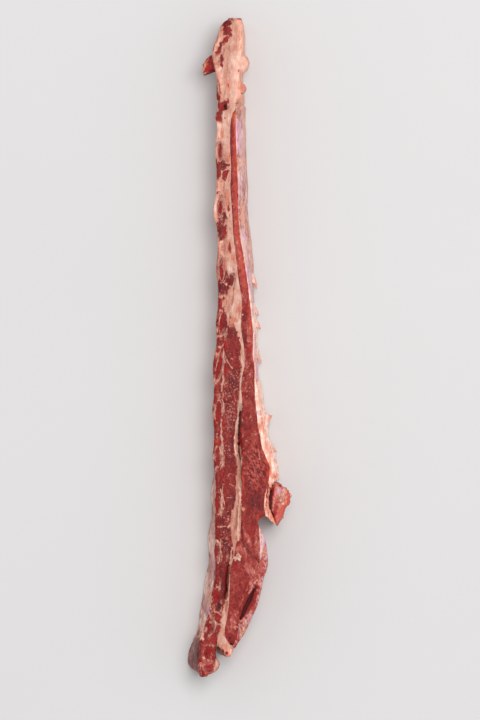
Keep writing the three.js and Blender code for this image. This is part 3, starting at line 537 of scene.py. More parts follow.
LOWER_RIB_MARKS = [
    ("pink", 218.3, 336.6, 4, 2, 0), ("lean", 220, 341.5, 3.4, 4, 0),
    ("black", 220, 341.3, 0.8, 0.8, 0), ("pink", 218, 350.5, 3.4, 4.5, 20),
    ("red", 217.8, 350.4, 1.8, 2.2, 30), ("orange", 216.4, 356, 1.6, 2.4, 0),
    ("lean", 218.6, 388, 3.8, 3.8, 0), ("brown", 218.4, 387.4, 1.3, 0.8, 0),
    ("red", 222, 391, 1.1, 3.6, 0), ("red", 214.4, 399.4, 1.4, 2.6, 10),
    ("black", 226, 332.6, 0.9, 2.6, 28), ("lean", 217, 430, 3.4, 6, 0),
    ("red", 217.8, 441.8, 4.4, 4.6, 0), ("orange", 216.6, 441.4, 1.8, 2, 0),
    ("pink", 217.6, 447.6, 3.4, 1.3, 0), ("lean", 218.2, 478, 3, 10, 0),
    ("maroon", 220.6, 481, 0.8, 9, 0), ("salmon", 217.6, 491.6, 2.3, 1.4, 0),
    ("red", 217.6, 491.4, 1.4, 0.9, 0), ("lean", 217.8, 521, 3.4, 6, 0),
    ("lean", 217.4, 534, 3.4, 6, 0), ("dark lean", 219, 521.6, 1.6, 3, 0),
    ("pink", 216, 541, 2.6, 2.4, 0), ("lean", 217, 574, 3, 9, 0),
    ("red", 214.8, 584.6, 1.1, 1.8, -20), ("lean", 213.4, 596, 3, 12, 6),
    ("red", 218.4, 617, 3.2, 5, 6), ("red", 217.3, 627.3, 4, 3, 70),
    ("red", 212.8, 638, 3, 6, 8), ("maroon", 212.9, 652.4, 1.6, 4.5, 8),
    ("lean", 203, 652, 3.6, 14, 6), ("cream fat", 200, 635, 3.2, 6, -22),
    ("tan fat", 201, 618, 1.6, 8, 0), ("orange", 188.6, 664.6, 1.5, 3.2, 0),
    ("red", 188.8, 665, 1.1, 2, 0), ("black", 190.2, 666.6, 0.6, 1.4, 0),
    ("pale lean", 206, 662, 6, 14, 8, 0.8), ("pale lean", 204, 668, 8, 6, 70),
    ("pink", 201, 668, 6, 2.4, 76, 0.9), ("red", 203, 675.2, 6, 1.2, 78),
    ("red", 209, 668, 4.5, 5, 40), ("orange", 207, 676, 4, 1.3, 85),
    ("cream fat", 218.3, 664.4, 2, 4, 0), ("salmon", 217, 670, 1.8, 2.6, 20),
]

INNER_SIDE_MARKS = [
    ("membrane", 212.4, 487, 2.6, 16, 0), ("membrane", 210, 520, 4, 14, 0),
    ("membrane", 211.5, 540, 3.4, 16, 0), ("membrane", 210.5, 565, 3.6, 20, 0),
    ("membrane", 207, 592, 5, 20, 0), ("blue", 211.6, 560, 1.4, 18, -6),
    ("tan fat", 206.5, 586, 3.8, 13, -6), ("cream fat", 207.5, 580, 1.6, 8, -6),
    ("slate", 204.6, 607, 3.2, 10, -10),
    ("cream fat", 200.4, 632, 3, 9, 8), ("tan fat", 202.6, 620, 1.8, 6, 8),
    ("bruised skin", 193, 656, 7, 19, 12), ("membrane", 197, 628, 1.4, 6, 20),
    ("lean", 202.5, 604, 1.2, 4, 0),
]

TORN_FLAP_MARKS = [
    ("red", 208, 66, 4.5, 8, 20), ("orange", 205, 65.5, 2.6, 8.5, 24),
    ("salmon", 203.6, 69, 1.2, 4.5, 14), ("maroon", 211.6, 65, 2.2, 7, 0),
    ("maroon", 208.6, 62.5, 1.0, 2.6, 30), ("red", 209.6, 69, 1.2, 2, 0),
    ("coral", 204, 66.5, 1.5, 7.5, 22), ("tan fat", 205, 73.4, 1.2, 1.3, 0),
    ("orange", 208.4, 71.6, 2.6, 1.2, 60), ("coral", 206.4, 72.8, 2, 0.8, 70),
]

LUMP_MARKS = [
    ("bright", 281.5, 493, 7, 9, 0, 0.9), ("bright", 279.5, 513, 5, 9, 20, 0.9),
    ("pink", 282, 496, 5, 9, 8, 0.9),
    ("lilac", 278.6, 491.5, 2.0, 4, 8, 0.9), ("pink", 283.5, 500, 3.6, 5, -30, 0.9),
    ("orange", 289.6, 493, 1.6, 6, 0, 0.6), ("orange", 286, 504, 2.4, 8, 20, 0.8),
    ("orange", 280, 514, 3.4, 9, 24, 0.9), ("coral", 290.4, 492, 0.8, 5, 0, 0.9),
    ("maroon", 279.4, 484.6, 1.2, 2.6, -30), ("red", 275.4, 511, 2.2, 7, 12, 0.8),
    ("orange", 282, 510, 2.0, 8, 26, 0.8), ("orange", 275.6, 521, 2.6, 4, 0, 0.6),
    ("coral", 276.4, 525, 1.4, 1.6, 0), ("maroon", 272.6, 494, 1.0, 9, 10),
    ("white fat", 283.2, 503.4, 0.6, 0.8, 20), ("white fat", 280.6, 500.2, 0.6, 0.6, 0),
]

# Flakes on the outer wall: Y where each starts, its length, its reach, its foot, its height and
# where along its length its tip is.
FASCIA_FLAKES = [(111, 28, 6.5, 8, 20, 1.0)]
FAT_FLAKES = [(63, 20, 5, 4, 24, 0.9), (42, 20, 6, 10, 24, 0.8), (3, 26, 5.5, 5, 30, 1.0),
              (-95, 22, 9.5, 10, 26, 0.05), (-132, 20, 4.5, 6, 20, 0.8)]

INNER_HALF = [*HUNG_END, *UPPER_RIBS, *FAT_WEDGE, *INNER_MUSCLE_MARKS, *TIP_MARKS]

# Lines: kind, half its width, and the pixels that it runs through.
LINES = [
    ("thread", 0.35, [(223.4, 35.4), (227.6, 35.6)]),
    ("thread", 0.5, [(230.6, 168.6), (226, 169.4), (221.6, 172), (220.4, 180.7)]),
    ("thread", 0.45, [(225, 162), (228, 164), (230.4, 163)]),
    ("thread", 0.5, [(225, 148), (223.2, 153), (221, 158.5), (218, 160.5)]),
    ("brown", 0.55, [(241.2, 117), (241.6, 122), (240.8, 130)]),
    # The next line is partly painted highlight: glints on the wet fascia.
    ("thread", 0.4, [(242.4, 127), (242.6, 136), (241.2, 143)]),
    # The next two lines are partly painted shade along the crescent cut in the fascia.
    ("brown", 1.0, [(245.8, 171.8), (244, 177.5), (242.3, 184), (242.6, 190), (244.2, 197.5)]),
    ("brown", 0.6, [(242.6, 182), (242.4, 187), (243.6, 195)]),
    ("blue", 0.7, [(243.6, 234), (245, 238), (246.2, 242)]),
    ("brown", 0.5, [(249.2, 257), (250.8, 261), (251, 265)]),
    ("brown", 0.8, [(230.2, 274), (232.6, 272.6), (234.6, 275.4), (235, 281), (234, 288)]),
    ("brown", 0.5, [(232.8, 266), (234, 270)]),
    ("dull fat", 0.5, [(234, 288), (233, 296), (232, 305)]),
    ("thread", 0.4, [(225.2, 281), (226.4, 276.6), (229, 274.4)]),
    ("thread", 0.4, [(219, 283.4), (223, 282.6), (226, 280)]),
    ("thread", 0.55, [(228.2, 311), (228, 324), (226.6, 331), (224.4, 335)]),
    ("brown", 0.7, [(227, 330), (225.6, 333.4), (224, 336)]),
    ("thread", 0.45, [(219, 347), (221.6, 347.6), (224, 343)]),
    ("thread", 0.5, [(224.8, 354), (227.4, 361), (230, 365), (233, 368.4)]),
    ("thread", 0.35, [(230.6, 357.6), (232.4, 359)]),
    ("thread", 0.3, [(230.8, 374), (233, 376), (235, 380)]),
    ("thread", 0.3, [(236, 370), (238, 372.6), (237, 376)]),
    ("thread", 0.3, [(231, 392.6), (234, 391.6), (236, 389.6)]),
    ("thread", 0.3, [(229, 394), (231.4, 397)]),
    ("thread", 0.8, [(223.6, 352), (223.4, 366), (222.4, 382), (221.6, 391)]),
    ("thread", 0.8, [(222.8, 399), (224.2, 406), (221, 418), (221.4, 430), (222.4, 445)]),
    ("thread", 0.7, [(222.6, 446), (221.8, 458), (222.6, 465), (220, 470)]),
    ("thread", 0.35, [(215.6, 411.6), (219, 410.6), (221.6, 408)]),
    ("thread", 0.35, [(219, 459), (221.4, 456.6), (223, 455)]),
    ("thread", 0.35, [(226.4, 478.6), (228.6, 475.6), (230, 474.4)]),
    ("thread", 0.4, [(227.6, 483.2), (231.4, 484.4), (235, 487.6)]),
    ("thread", 0.3, [(226.6, 498), (229.6, 497.4), (233, 497.6)]),
    ("thread", 0.4, [(220.4, 489), (222.4, 496), (224.6, 506)]),
    ("thread", 0.3, [(221.4, 490), (225.4, 493)]),
    ("thread", 0.45, [(217.6, 526.8), (223, 527), (229, 526.4)]),
    ("thread", 0.5, [(221.2, 494), (221.4, 505), (219.6, 514)]),
    ("pink", 0.6, [(213.8, 494), (214, 506), (214.6, 514)]),
    ("thread", 0.4, [(213.8, 545), (215, 540), (218.6, 540.6), (220.6, 546)]),
    # The next three lines paint the shade in the groove between the seam fat and the outer muscle.
    ("brown", 1.9, [(240.4, 404), (240.2, 417), (239.2, 430), (238.4, 446), (239.6, 458)]),
    ("black", 1.0, [(240.2, 412), (239.6, 422), (238.8, 432), (238.2, 446), (239.2, 456)]),
    ("brown", 1.5, [(239.4, 455), (240.8, 466), (240.2, 476), (240.4, 486)]),
    ("tan fat", 0.5, [(239.8, 444), (240.8, 456), (241.6, 466)]),
    ("brown", 0.8, [(237.4, 506), (236.4, 516), (237, 526)]),
    ("brown", 0.5, [(240, 505), (239.2, 520)]),
    ("cream fat", 0.9, [(239.6, 480), (240, 500), (238, 522), (238.4, 540)]),
    ("tan fat", 1.0, [(236.6, 478), (236.4, 500), (232.4, 515), (233, 534)]),
    # The next two lines paint the shade in the crease between the tongue and the lobe.
    ("brown", 0.9, [(242.4, 540.6), (244.6, 546), (249.6, 551.4), (254, 556), (258, 561)]),
    ("brown", 1.7, [(242.4, 541), (248.6, 550.6), (257, 560)]),
    # The next line is a painted highlight along the rounded edge of the lobe.
    ("pale lean", 0.7, [(258.4, 563), (253.6, 574), (250, 582), (245, 593), (240, 606)]),
    ("thread", 0.8, [(231.4, 548), (230.6, 560), (229.4, 572), (229, 590), (227.6, 600)]),
    ("thread", 0.35, [(258, 579), (253.6, 585.6), (249.4, 594)]),
    ("thread", 0.3, [(247.4, 628.6), (243.4, 634), (240, 640)]),
    ("thread", 0.5, [(214.4, 611.6), (218.6, 612.4), (222.6, 616), (222, 622)]),
    ("thread", 0.5, [(212, 623), (215.6, 624.4), (219, 623.6), (223, 624)]),
    ("thread", 0.5, [(209.6, 622), (213, 626), (211.4, 632), (208.4, 637)]),
    ("thread", 0.4, [(202, 657), (205, 659), (208, 661)]),
    ("thread", 0.4, [(207, 652), (208.6, 655), (208, 658)]),
    ("blue", 0.8, [(196, 668), (203, 669.4), (211, 668)]),
    ("brown", 0.5, [(203, 672), (208, 672.6), (212, 670)]),
    ("thread", 0.4, [(209.4, 570), (208, 586), (210.6, 598), (210, 608)]),
    ("tan fat", 0.5, [(205, 594), (207.4, 598), (209.6, 606)]),
]

# What the sawn ribs show: the same as the patches, for the meshes of the ribs alone.
RIB_MARKS = [
    ("core", 219.9, 150.5, 1.3, 6, 4), ("dark core", 219.9, 149, 0.7, 2.6, 0),
    ("core", 220.3, 207.8, 1.6, 5.6, 0), ("dark core", 220.3, 207, 0.9, 4, 0),
    ("salmon", 219, 195, 3, 5, 0), ("core", 221.4, 274, 1.5, 6.2, 0),
    ("salmon", 224.6, 264, 1.4, 6, 0), ("core", 221.5, 322, 1.7, 10.6, 10),
    ("dark core", 221.2, 324, 1.0, 7, 6), ("dark core", 225.6, 322, 1.8, 8, 4),
    ("brown", 225.8, 326, 1.2, 5, 6), ("core", 218.8, 366.5, 1.8, 14, 13),
    ("dark core", 217.6, 371, 1.2, 8, 13), ("core", 218.5, 412.4, 2.9, 10, 4),
    ("dark core", 218.6, 408, 1.8, 3.6, 4), ("core", 217.6, 417, 1.8, 4, 0),
    ("core", 217.4, 450.6, 1.5, 3.2, 4), ("core", 217.2, 460.6, 2, 5.4, 6),
    ("dark core", 217, 462, 1.2, 3, 6), ("core", 216.9, 503, 2.2, 9, 3),
    ("dark core", 216.6, 499.6, 1.2, 2.2, 0), ("dark core", 216, 510.6, 1.2, 2.4, 0),
    ("core", 215.7, 553.4, 1.6, 9, 3), ("core", 216, 549, 1.1, 4, 3),
    ("core", 215.6, 597, 3.4, 9, 4), ("dark core", 217.6, 596, 2, 6, 6),
    ("brown", 218.6, 604, 1.8, 3, 0), ("core", 207.4, 628.6, 3.4, 6.6, 24),
    ("dark core", 206.6, 630.4, 1.2, 1.9, 20), ("dark core", 209.4, 624.6, 1.3, 1.5, 20),
    ("core", 208.4, 652, 3.6, 8, 8), ("dark core", 207.4, 652.6, 1.8, 3.2, 0),
    ("black", 206.8, 653.6, 0.9, 1.4, 0), ("thread", 209.6, 646, 0.8, 0.9, 0),
]

SOFT_FIELDS = ("tone", "warm", "blood")  # these fade out further than the rest of a mark

# The paint of a plain point. Fat, skin, blood and marble say how much of each there is, tone how
# light it is and warm how orange, dark how much darker it is, which is painted shade in clefts,
# holes and folds and the own darkness of bruises and brown spots, torn how frayed its fibres are,
# and the last field how much painted light brightens a steep wall that shows, to offset its shade.
PLAIN_PAINT = {
    "fat": 0.0, "skin": 0.0, "tone": 0.5, "warm": 0.5, "blood": 0.0, "dark": 0.0, "marble": 0.0,
    "torn": 0.0, "pale": 0.0,
}
SHOWN_FIELDS = [field for field in PLAIN_PAINT if field != "torn"]  # what the materials read


def distance_to(places, here):
    """How far points are from a line through some places."""
    distance = np.full(len(here), np.inf)
    for start, end in zip(np.array(places)[:-1], np.array(places)[1:]):
        along = np.clip((here - start) @ (end - start) / ((end - start) @ (end - start)), 0, 1)
        nearest = start + along[:, None] * (end - start)
        distance = np.minimum(distance, np.hypot(*(here - nearest).T))
    return distance


class Surface:
    """The points of a piece, in millimetres, and the paint on each of them.

    `look` is the place on the front face whose marks a point takes, and `shown` how strongly.
    """

    def __init__(self, points, look, side=FRONT_SIDE, shown=1.0):
        self.points = points
        self.side = np.broadcast_to(side, len(points))
        self.shown = np.broadcast_to(shown, len(points))
        self.paint = {name: np.full(len(points), value) for name, value in PLAIN_PAINT.items()}
        self.relief = np.zeros(len(points))
        at = np.column_stack([look, points[:, 2] * 0.4])
        wobble = [noise(at, 5.0, seed, 3) for seed in (11, 47)]
        self.right = PIXEL_OVER_ORIGIN[0] + look[:, 0] / PIXEL + wobble[0] * 0.7
        self.down = PIXEL_OVER_ORIGIN[1] - look[:, 1] / PIXEL + wobble[1] * 1.0
        self.edge = noise(at, 3.4, 71, 3) * 0.5
        depth = np.clip(FRONT - points[:, 2], 0, None) / PIXEL
        self.down += 0.35 * depth * noise(points, (16, 14, 12), 301, 2)
        self.edge += ramp(depth, 5, 16) * 0.9 * noise(points, (8, 8, 7), 305, 3)

    def noise(self, size, seed, octaves=2):
        return noise(self.points, size, seed, octaves)

    def fill(self, **values):
        """Gives every point the same paint."""
        for name, value in values.items():
            self.paint[name][:] = value

    def add(self, **amounts):
        """Adds to fields of the paint, an amount for each point."""
        for name, amount in amounts.items():
            self.paint[name] += amount

    def paint_shade(self, amount):
        """Paints shade: makes the points at least this dark."""
        self.paint["dark"] = np.maximum(self.paint["dark"], amount)

    def mottle(self, seed, tone=0.2, warm=0.2):
        """Uneven lightness and warmth, in blots that are longer along the strip."""
        calm = 1 - 0.5 * ramp(self.points[:, 2], FRONT - 12, FRONT - 30)
        self.add(tone=calm * tone * self.noise((5, 11, 9), seed, 3))
        self.add(warm=calm * warm * self.noise((9, 17, 13), seed + 5, 2))

    def spread(self, kind, share):
        """Moves the paint of every point towards a kind of mark, by a share each."""
        self.move(kind, slice(None), share)

    def move(self, kind, chosen, share, soft_share=None):
        """Moves the paint of the chosen points towards a kind of mark, by a share each."""
        soft_share = share if soft_share is None else soft_share
        for name, value in KINDS[kind].items():
            field = self.paint[name]
            part = soft_share if name in SOFT_FIELDS else share
            field[chosen] += (value - field[chosen]) * part

    def patch(self, kind, right, down, wide, long, turn, soft=0.0):
        """An oval mark with a ragged edge."""
        chosen = np.flatnonzero(np.abs(self.down - down) < max(wide, long) * 2.2 + 1)
        if not len(chosen):
            return
        away_right, away_down = self.right[chosen] - right, self.down[chosen] - down
        sine, cosine = math.sin(math.radians(turn)), math.cos(math.radians(turn))
        across = (away_right * cosine + away_down * sine) / wide
        along = (away_right * sine - away_down * cosine) / long
        distance = np.hypot(across, along) + self.edge[chosen]
        softness = max(soft, min(0.75, 0.7 / min(wide, long) + 0.2))
        crisp = ramp(distance, 1 + softness, 1 - softness) * self.shown[chosen]
        soft = ramp(distance, 1.1 + softness, 0.35) * self.shown[chosen]
        self.move(kind, chosen, crisp, soft)

    def line(self, kind, half_width, places):
        """A mark of uneven width along a line through some places."""
        downs = [place[1] for place in places]
        near = (self.down > min(downs) - 3) & (self.down < max(downs) + 3)
        chosen = np.flatnonzero(near)
        if not len(chosen):
            return
        here = np.column_stack([self.right[chosen], self.down[chosen]])
        distance = distance_to(places, here)
        width = half_width * (1 + 1.4 * self.edge[chosen])
        self.move(kind, chosen, ramp(distance, width + 0.45, width - 0.35) * self.shown[chosen])

    def apply(self, patches, lines=()):
        """Paints marks over one another, in their order."""
        for mark in patches:
            self.patch(*mark)
        for mark in lines:
            self.line(*mark)


# ---- Meshes ---------------------------------------------------------------------------------


def warp(points):
    """The unevenness that all the layers share, so that their seams stay shut."""
    moved = points.copy()
    moved[:, 0] += 0.45 * noise(points, (14, 23, 20), 5, 2)
    moved[:, 1] += 0.5 * noise(points, (9, 11, 16), 6, 2)
    return moved


def front_height(points):
    """The slow swell of the sawn front face."""
    flat = points * (1, 1, 0)
    return FRONT + 0.8 * noise(flat, (26, 40, 1), 3, 2) + 0.25 * noise(flat, 7, 4, 2)


def rounding(distance, radius):
    """How far a face has dropped at some distance from its rounded edge."""
    inside = np.clip(radius - distance, 0, radius)
    return radius - np.sqrt(np.maximum(radius**2 - inside**2, 0))


def normals_of(points, quads):
    """Unit normals at the points, from the quads around each."""
    a, b, c, d = (points[quads[:, k]] for k in range(4))
    face = np.cross(c - a, d - b)
    total = np.zeros_like(points)
    for k in range(4):
        for axis in range(3):
            total[:, axis] += np.bincount(quads[:, k], face[:, axis], len(points))
    return total / np.maximum(np.linalg.norm(total, axis=1, keepdims=True), 1e-9)


def tube_quads(rings, corners):
    """Quads between neighbouring rings of a tube, whose rings go round counter-clockwise."""
    ring, corner = np.meshgrid(np.arange(rings - 1), np.arange(corners), indexing="ij")
    onward = (corner + 1) % corners
    quads = [ring * corners + corner, ring * corners + onward]
    quads += [(ring + 1) * corners + onward, (ring + 1) * corners + corner]
    return np.stack(quads, axis=-1).reshape(-1, 4)


def raised(flat, height):
    """Flat places, all at one height."""
    return np.column_stack([flat, np.full(len(flat), height)])


def shut_tube(quads, rings, corners):
    """The faces of a tube: its quads, and one face over each end."""
    last = (rings - 1) * corners
    ends = [tuple(range(corners)), tuple(range(last, last + corners))[::-1]]
    return [tuple(quad) for quad in quads.tolist()] + ends


def standing_tube(points, rings, corners):
    """Quads and faces, with their outsides out, of a tube whose first ring is its top."""
    quads = tube_quads(rings, corners)
    if normals_of(points, quads)[:corners, 2].mean() < 0:
        quads = quads[:, ::-1]
    return quads, shut_tube(quads, rings, corners)


def add_object(name, data):
    """A new object in the scene."""
    made = bpy.data.objects.new(name, data)
    bpy.context.scene.collection.objects.link(made)
    return made


def make_piece(name, points, faces, surface, material, node, slot):
    """A piece of the strip, with its paint as fields that its material reads."""
    mesh = bpy.data.meshes.new(name)
    mesh.from_pydata((points / METRE).tolist(), [], faces)
    for field in SHOWN_FIELDS:
        values = np.clip(surface.paint[field], 0, 1).astype(np.float32)
        mesh.attributes.new(field, "FLOAT", "POINT").data.foreach_set("value", values)
    mesh.shade_smooth()
    mesh.materials.append(material)
    piece = add_object(name, mesh)
    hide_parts(node)
    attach(piece, "root")


class Layer:
    """A layer of the strip as a tube of closed cross-sections, traced from its solid."""

    def __init__(self, node, columns, row_step, free, open_ends, pale, hung_rounding, widen):
        low, high = box_of(node)
        high[1] += GROWN.get(node, 0)
        count = int(round((high[1] - low[1]) / row_step)) + 1
        self.node = node
        self.rows = np.linspace(low[1] + END_MARGIN, high[1] - END_MARGIN, count)
        self.free = free
        self.pale = pale
        hung = ramp(self.rows, *HUNG_ROWS)[:, None]
        self.free_radius = FREE_ROUNDING + (hung_rounding - FREE_ROUNDING) * hung
        self.open_ends = open_ends
        traced, self.heights, start, stop = walls_of(node)
        self.floor = LUMP_FLOOR if node == "hanging_lump" else 0.0
        self.start, self.stop = (at_rows(wall, traced, self.rows) for wall in (start, stop))
        self.open = {name: self.close_seam(name) for name in ("inner", "outer")}
        if widen:
            middle, reach, amount = widen
            self.stop += amount * ramp(np.abs(self.rows - middle), reach, 0.6 * reach)[:, None]
        self.build(columns)

    def close_seam(self, name):
        """Moves a wall to the middle of its seam, and tells how open it stays for each row."""
        sign = -1 if name == "inner" else 1
        wall = self.start if name == "inner" else self.stop
        gap = np.full(wall.shape, np.inf)
        for other in SEAMED:
            if other == self.node or self.node not in SEAMED:
                continue
            rows, _, start, stop = walls_of(other)
            facing = at_rows(stop if name == "inner" else start, rows, self.rows)
            distance = (facing - wall) * sign
            beyond = (self.rows < rows[0] - 0.6) | (self.rows > rows[-1] + 0.6)
            distance[beyond] = np.inf
            distance[distance < -1.2] = np.inf
            gap = np.minimum(gap, distance)
        gap = np.minimum(gap, FAR)
        closing = ramp(gap, OPEN_GAP, SHUT_GAP)
        wall += sign * np.where(closing > 0, (gap / 2 - SEAM_LEFT) * closing, 0)
        shut = closing[:, -4:].min(axis=1, keepdims=True)
        return 1 - soften(shut, self.rows, 2.0)

    def wall_shares(self, side):
        """Where the points of a wall lie between its front edge, 0, and its rear edge, 1."""
        if side in self.free:
            return (np.arange(FREE_WALL_POINTS) + 0.5) / FREE_WALL_POINTS
        return np.array([0.006, 0.02, 0.05, 0.11, 0.25, 0.45, 0.7, 0.9, 0.985])

    def wall_at(self, side, y, z):
        """X of a wall at any places along the strip and heights."""
        wall = self.start if side == "inner" else self.stop
        row = np.clip(np.interp(y, self.rows, np.arange(len(self.rows))).round().astype(int),
                      0, len(self.rows) - 1)
        return at_height(wall[row], self.heights, np.asarray(z)[:, None])[:, 0]

    def build(self, columns):
        """Lays rings round the layer: the front face, the outer wall, the rear and the inner."""
        rows = self.rows[:, None]
        edge = np.full_like(rows, FRONT)
        start, stop = (at_height(wall, self.heights, edge) for wall in (self.start, self.stop))
        stop = np.maximum(stop, start + LEAST_WIDTH)
        rear = np.full_like(rows, self.floor)
        rear_start, rear_stop = (at_height(w, self.heights, rear) for w in (self.start, self.stop))
        rear_stop = np.maximum(rear_stop, rear_start + LEAST_WIDTH)
        across = np.linspace(0, 1, columns)[None]
        front_x = start + (stop - start) * across
        front_drop = self.edge_drop(front_x - start, stop - front_x, self.free_radius)
        y = np.broadcast_to(rows, front_x.shape)
        flat = np.column_stack([front_x.ravel(), y.ravel(), np.zeros(front_x.size)])
        front_z = front_height(flat).reshape(front_x.shape) - front_drop - self.end_drop(y)
        coarse = np.linspace(1, 0, max(6, columns // 2))[None]
        rear_x = rear_start + (rear_stop - rear_start) * coarse
        rear_z = self.floor + self.edge_drop(rear_x - rear_start, rear_stop - rear_x, REAR_ROUNDING)
        outer = self.wall_shares("outer")[None]
        outer_z = front_z[:, -1:] * (1 - outer) + rear_z[:, :1] * outer
        inner = self.wall_shares("inner")[None, ::-1]
        inner_z = front_z[:, :1] * (1 - inner) + rear_z[:, -1:] * inner
        inner_x = at_height(self.start, self.heights, inner_z)
        outer_x = np.maximum(at_height(self.stop, self.heights, outer_z),
                             at_height(self.start, self.heights, outer_z) + 0.4)
        x = np.concatenate([front_x, outer_x, rear_x, inner_x], axis=1)
        z = np.concatenate([front_z, outer_z, rear_z, inner_z], axis=1)
        look_x = np.concatenate([
            front_x, outer_x, start + (stop - start) * coarse, inner_x], axis=1)
        counts = [front_x.shape[1], outer_x.shape[1], rear_x.shape[1], inner_x.shape[1]]
        sides = np.repeat([FRONT_SIDE, OUTER_SIDE, REAR_SIDE, INNER_SIDE], counts)
        y = np.broadcast_to(rows, x.shape)
        rings = np.stack([x, y, z], axis=-1)
        looks = np.stack([look_x, y], axis=-1)
        side = np.broadcast_to(sides, x.shape)
        width = stop - start
        gap = np.full(x.shape, FAR)
        for name, distance in (("inner", across * width), ("outer", (1 - across) * width)):
            gap[:, :columns] = np.minimum(gap[:, :columns], distance + APART * self.open[name])
        free_edge = np.full(x.shape, FAR)
        for name, code, column in (("inner", INNER_SIDE, 0), ("outer", OUTER_SIDE, columns - 1)):
            if name in self.free:
                missing = 1 - self.open[name]
                from_edge = np.abs(front_x - front_x[:, [column]]) + APART * missing
                free_edge[:, :columns] = np.minimum(free_edge[:, :columns], from_edge)
                free_edge[side == code] = 0
        self.set_rings(*self.with_ends(rings, looks, side, gap, free_edge))

    def edge_drop(self, from_start, to_stop, free_radius):
        """How far a face has dropped towards its two rounded edges."""
        width = from_start + to_stop
        drops = 0
        for name, distance in (("inner", from_start), ("outer", to_stop)):
            radius = SEAM_ROUNDING + (free_radius - SEAM_ROUNDING) * self.open[name]
            drops = drops + rounding(distance, np.minimum(radius, width / 2))
        return drops

    def end_drop(self, y):
        """How far the front face has dropped towards the two ends."""
        drop = 0
        for name, distance in (("top", self.rows[-1] - y), ("bottom", y - self.rows[0])):
            drop = drop + rounding(distance, END_ROUNDING if name in self.open_ends else 0.3)
        return drop

    def with_ends(self, rings, looks, side, gap, free_edge):
        """Adds rings that draw in to the middle, so that each end is a domed face."""
        parts = [rings, looks, side, gap, free_edge]
        for name, last, outward in (("bottom", 0, -1), ("top", -1, 1)):
            shows = name in self.open_ends
            steps = np.linspace(1, 0, OPEN_END_RINGS if shows else SHUT_END_RINGS)[1:, None, None]
            middle = rings[last].mean(axis=0)
            caps = middle + (rings[last] - middle) * np.maximum(steps, 0.01)
            if shows:
                caps[..., 1] += outward * END_DOME * np.sqrt(1 - steps[..., 0] ** 2)
            new = [np.broadcast_to(part[last], (len(steps), *part[last].shape)) for part in parts]
            new[0], new[2] = caps, np.full(caps.shape[:2], END_SIDE)
            if outward < 0:
                parts = [np.concatenate([added[::-1], part]) for added, part in zip(new, parts)]
            else:
                parts = [np.concatenate([part, added]) for added, part in zip(new, parts)]
        return parts

    def set_rings(self, rings, looks, side, gap, free_edge):
        """Takes the rings as points and faces, and readies them for paint."""
        count, corners = rings.shape[:2]
        self.points = rings.reshape(-1, 3)
        # The rings go round from the inner side over the front to the outer side.
        self.quads = tube_quads(count, corners)[:, ::-1]
        self.faces = shut_tube(self.quads, count, corners)
        self.side = side.reshape(-1)
        self.from_seam = gap.reshape(-1)
        looks = looks.reshape(-1, 2)
        depth = FRONT - self.points[:, 2]
        reach = {FRONT_SIDE: FAR, REAR_SIDE: FAR, END_SIDE: MARK_DEPTH * 2}
        for name, code in (("inner", INNER_SIDE), ("outer", OUTER_SIDE)):
            reach[code] = FREE_MARK_DEPTH if name in self.free else MARK_DEPTH * 1.5
        reaches = np.array([reach[code] for code in range(5)])[self.side]
        shown = ramp(depth + 16 * noise(self.points, 12.0, 303), reaches, reaches * 0.25)
        shown[self.side == REAR_SIDE] = 0.8
        self.surface = Surface(self.points, looks, self.side, shown)
        self.free_edge = free_edge.reshape(-1)

    def bleed(self, kind, width, seed, strength=0.9):
        """Lets a ragged film of the neighbour's kind lie along both seams of the front face."""
        film = self.surface.noise((3.5, 7, 5), seed, 3)
        share = ramp(self.from_seam, width * (1.1 + 1.6 * film), 0.0) * strength
        self.surface.spread(kind, share * (self.side == FRONT_SIDE))

    def finish(self, name, slot, material, relief):
        """Moves the points to their relief and makes the object."""
        surface = self.surface
        points = warp(self.points)
        normals = normals_of(points, self.quads)
        visible = np.isin(self.side, (FRONT_SIDE, END_SIDE)).astype(float)
        for wall, code in (("inner", INNER_SIDE), ("outer", OUTER_SIDE)):
            chosen = self.side == code
            visible[chosen] = np.interp(self.points[chosen, 1], self.rows, self.open[wall][:, 0])
        # Painted light: steep fat and skin near a wall that shows get brighter paint, to offset the
        # shade they get.
        covered = np.maximum(surface.paint["fat"], surface.paint["skin"])
        painted_light_mask = ramp(normals[:, 2], 0.75, 0.15) * ramp(self.free_edge, 12, 4)
        surface.paint["pale"] = self.pale * painted_light_mask * np.clip(covered, 0, 1)
        own = fine_relief(surface) + surface.relief
        height = shared_relief(surface) + own * ramp(self.from_seam, 0.0, 1.8)
        up = np.where((self.side == FRONT_SIDE)[:, None], np.array([0, 0, 1.0]), normals)
        lean = 0.4 * ramp(self.from_seam, 0.3, 2.5)[:, None]
        up = (1 - lean) * up + lean * normals
        points = points + up * (relief * height * visible)[:, None]
        rear = self.side == REAR_SIDE
        points[rear, 2] += 0.5 * np.maximum(height[rear], 0)
        points[:, 2] = np.maximum(points[:, 2], self.floor)
        make_piece(name, points, self.faces, surface, material, self.node, slot)


def shared_relief(surface):
    """The unevenness that neighbours share, so that there is no step at a seam."""
    flat = surface.points * (1, 1, 0.8)
    return 0.4 * noise(flat, (6, 8, 8), 23, 3)


def fine_relief(surface):
    """Grain of the lean, lobes of the fat, torn fibres and clefts, in millimetres."""
    paint = surface.paint
    fat = np.clip(paint["fat"], 0, 1)
    grain = 0.3 * surface.noise((1.5, 3.2, 3.0), 21, 2) + 0.25 * surface.noise(3.4, 26, 2)
    lobes = 0.5 * (0.45 - np.abs(surface.noise((4.5, 6, 6), 22, 2)))
    return grain * (1 - fat) + lobes * fat - 1.6 * paint["dark"]


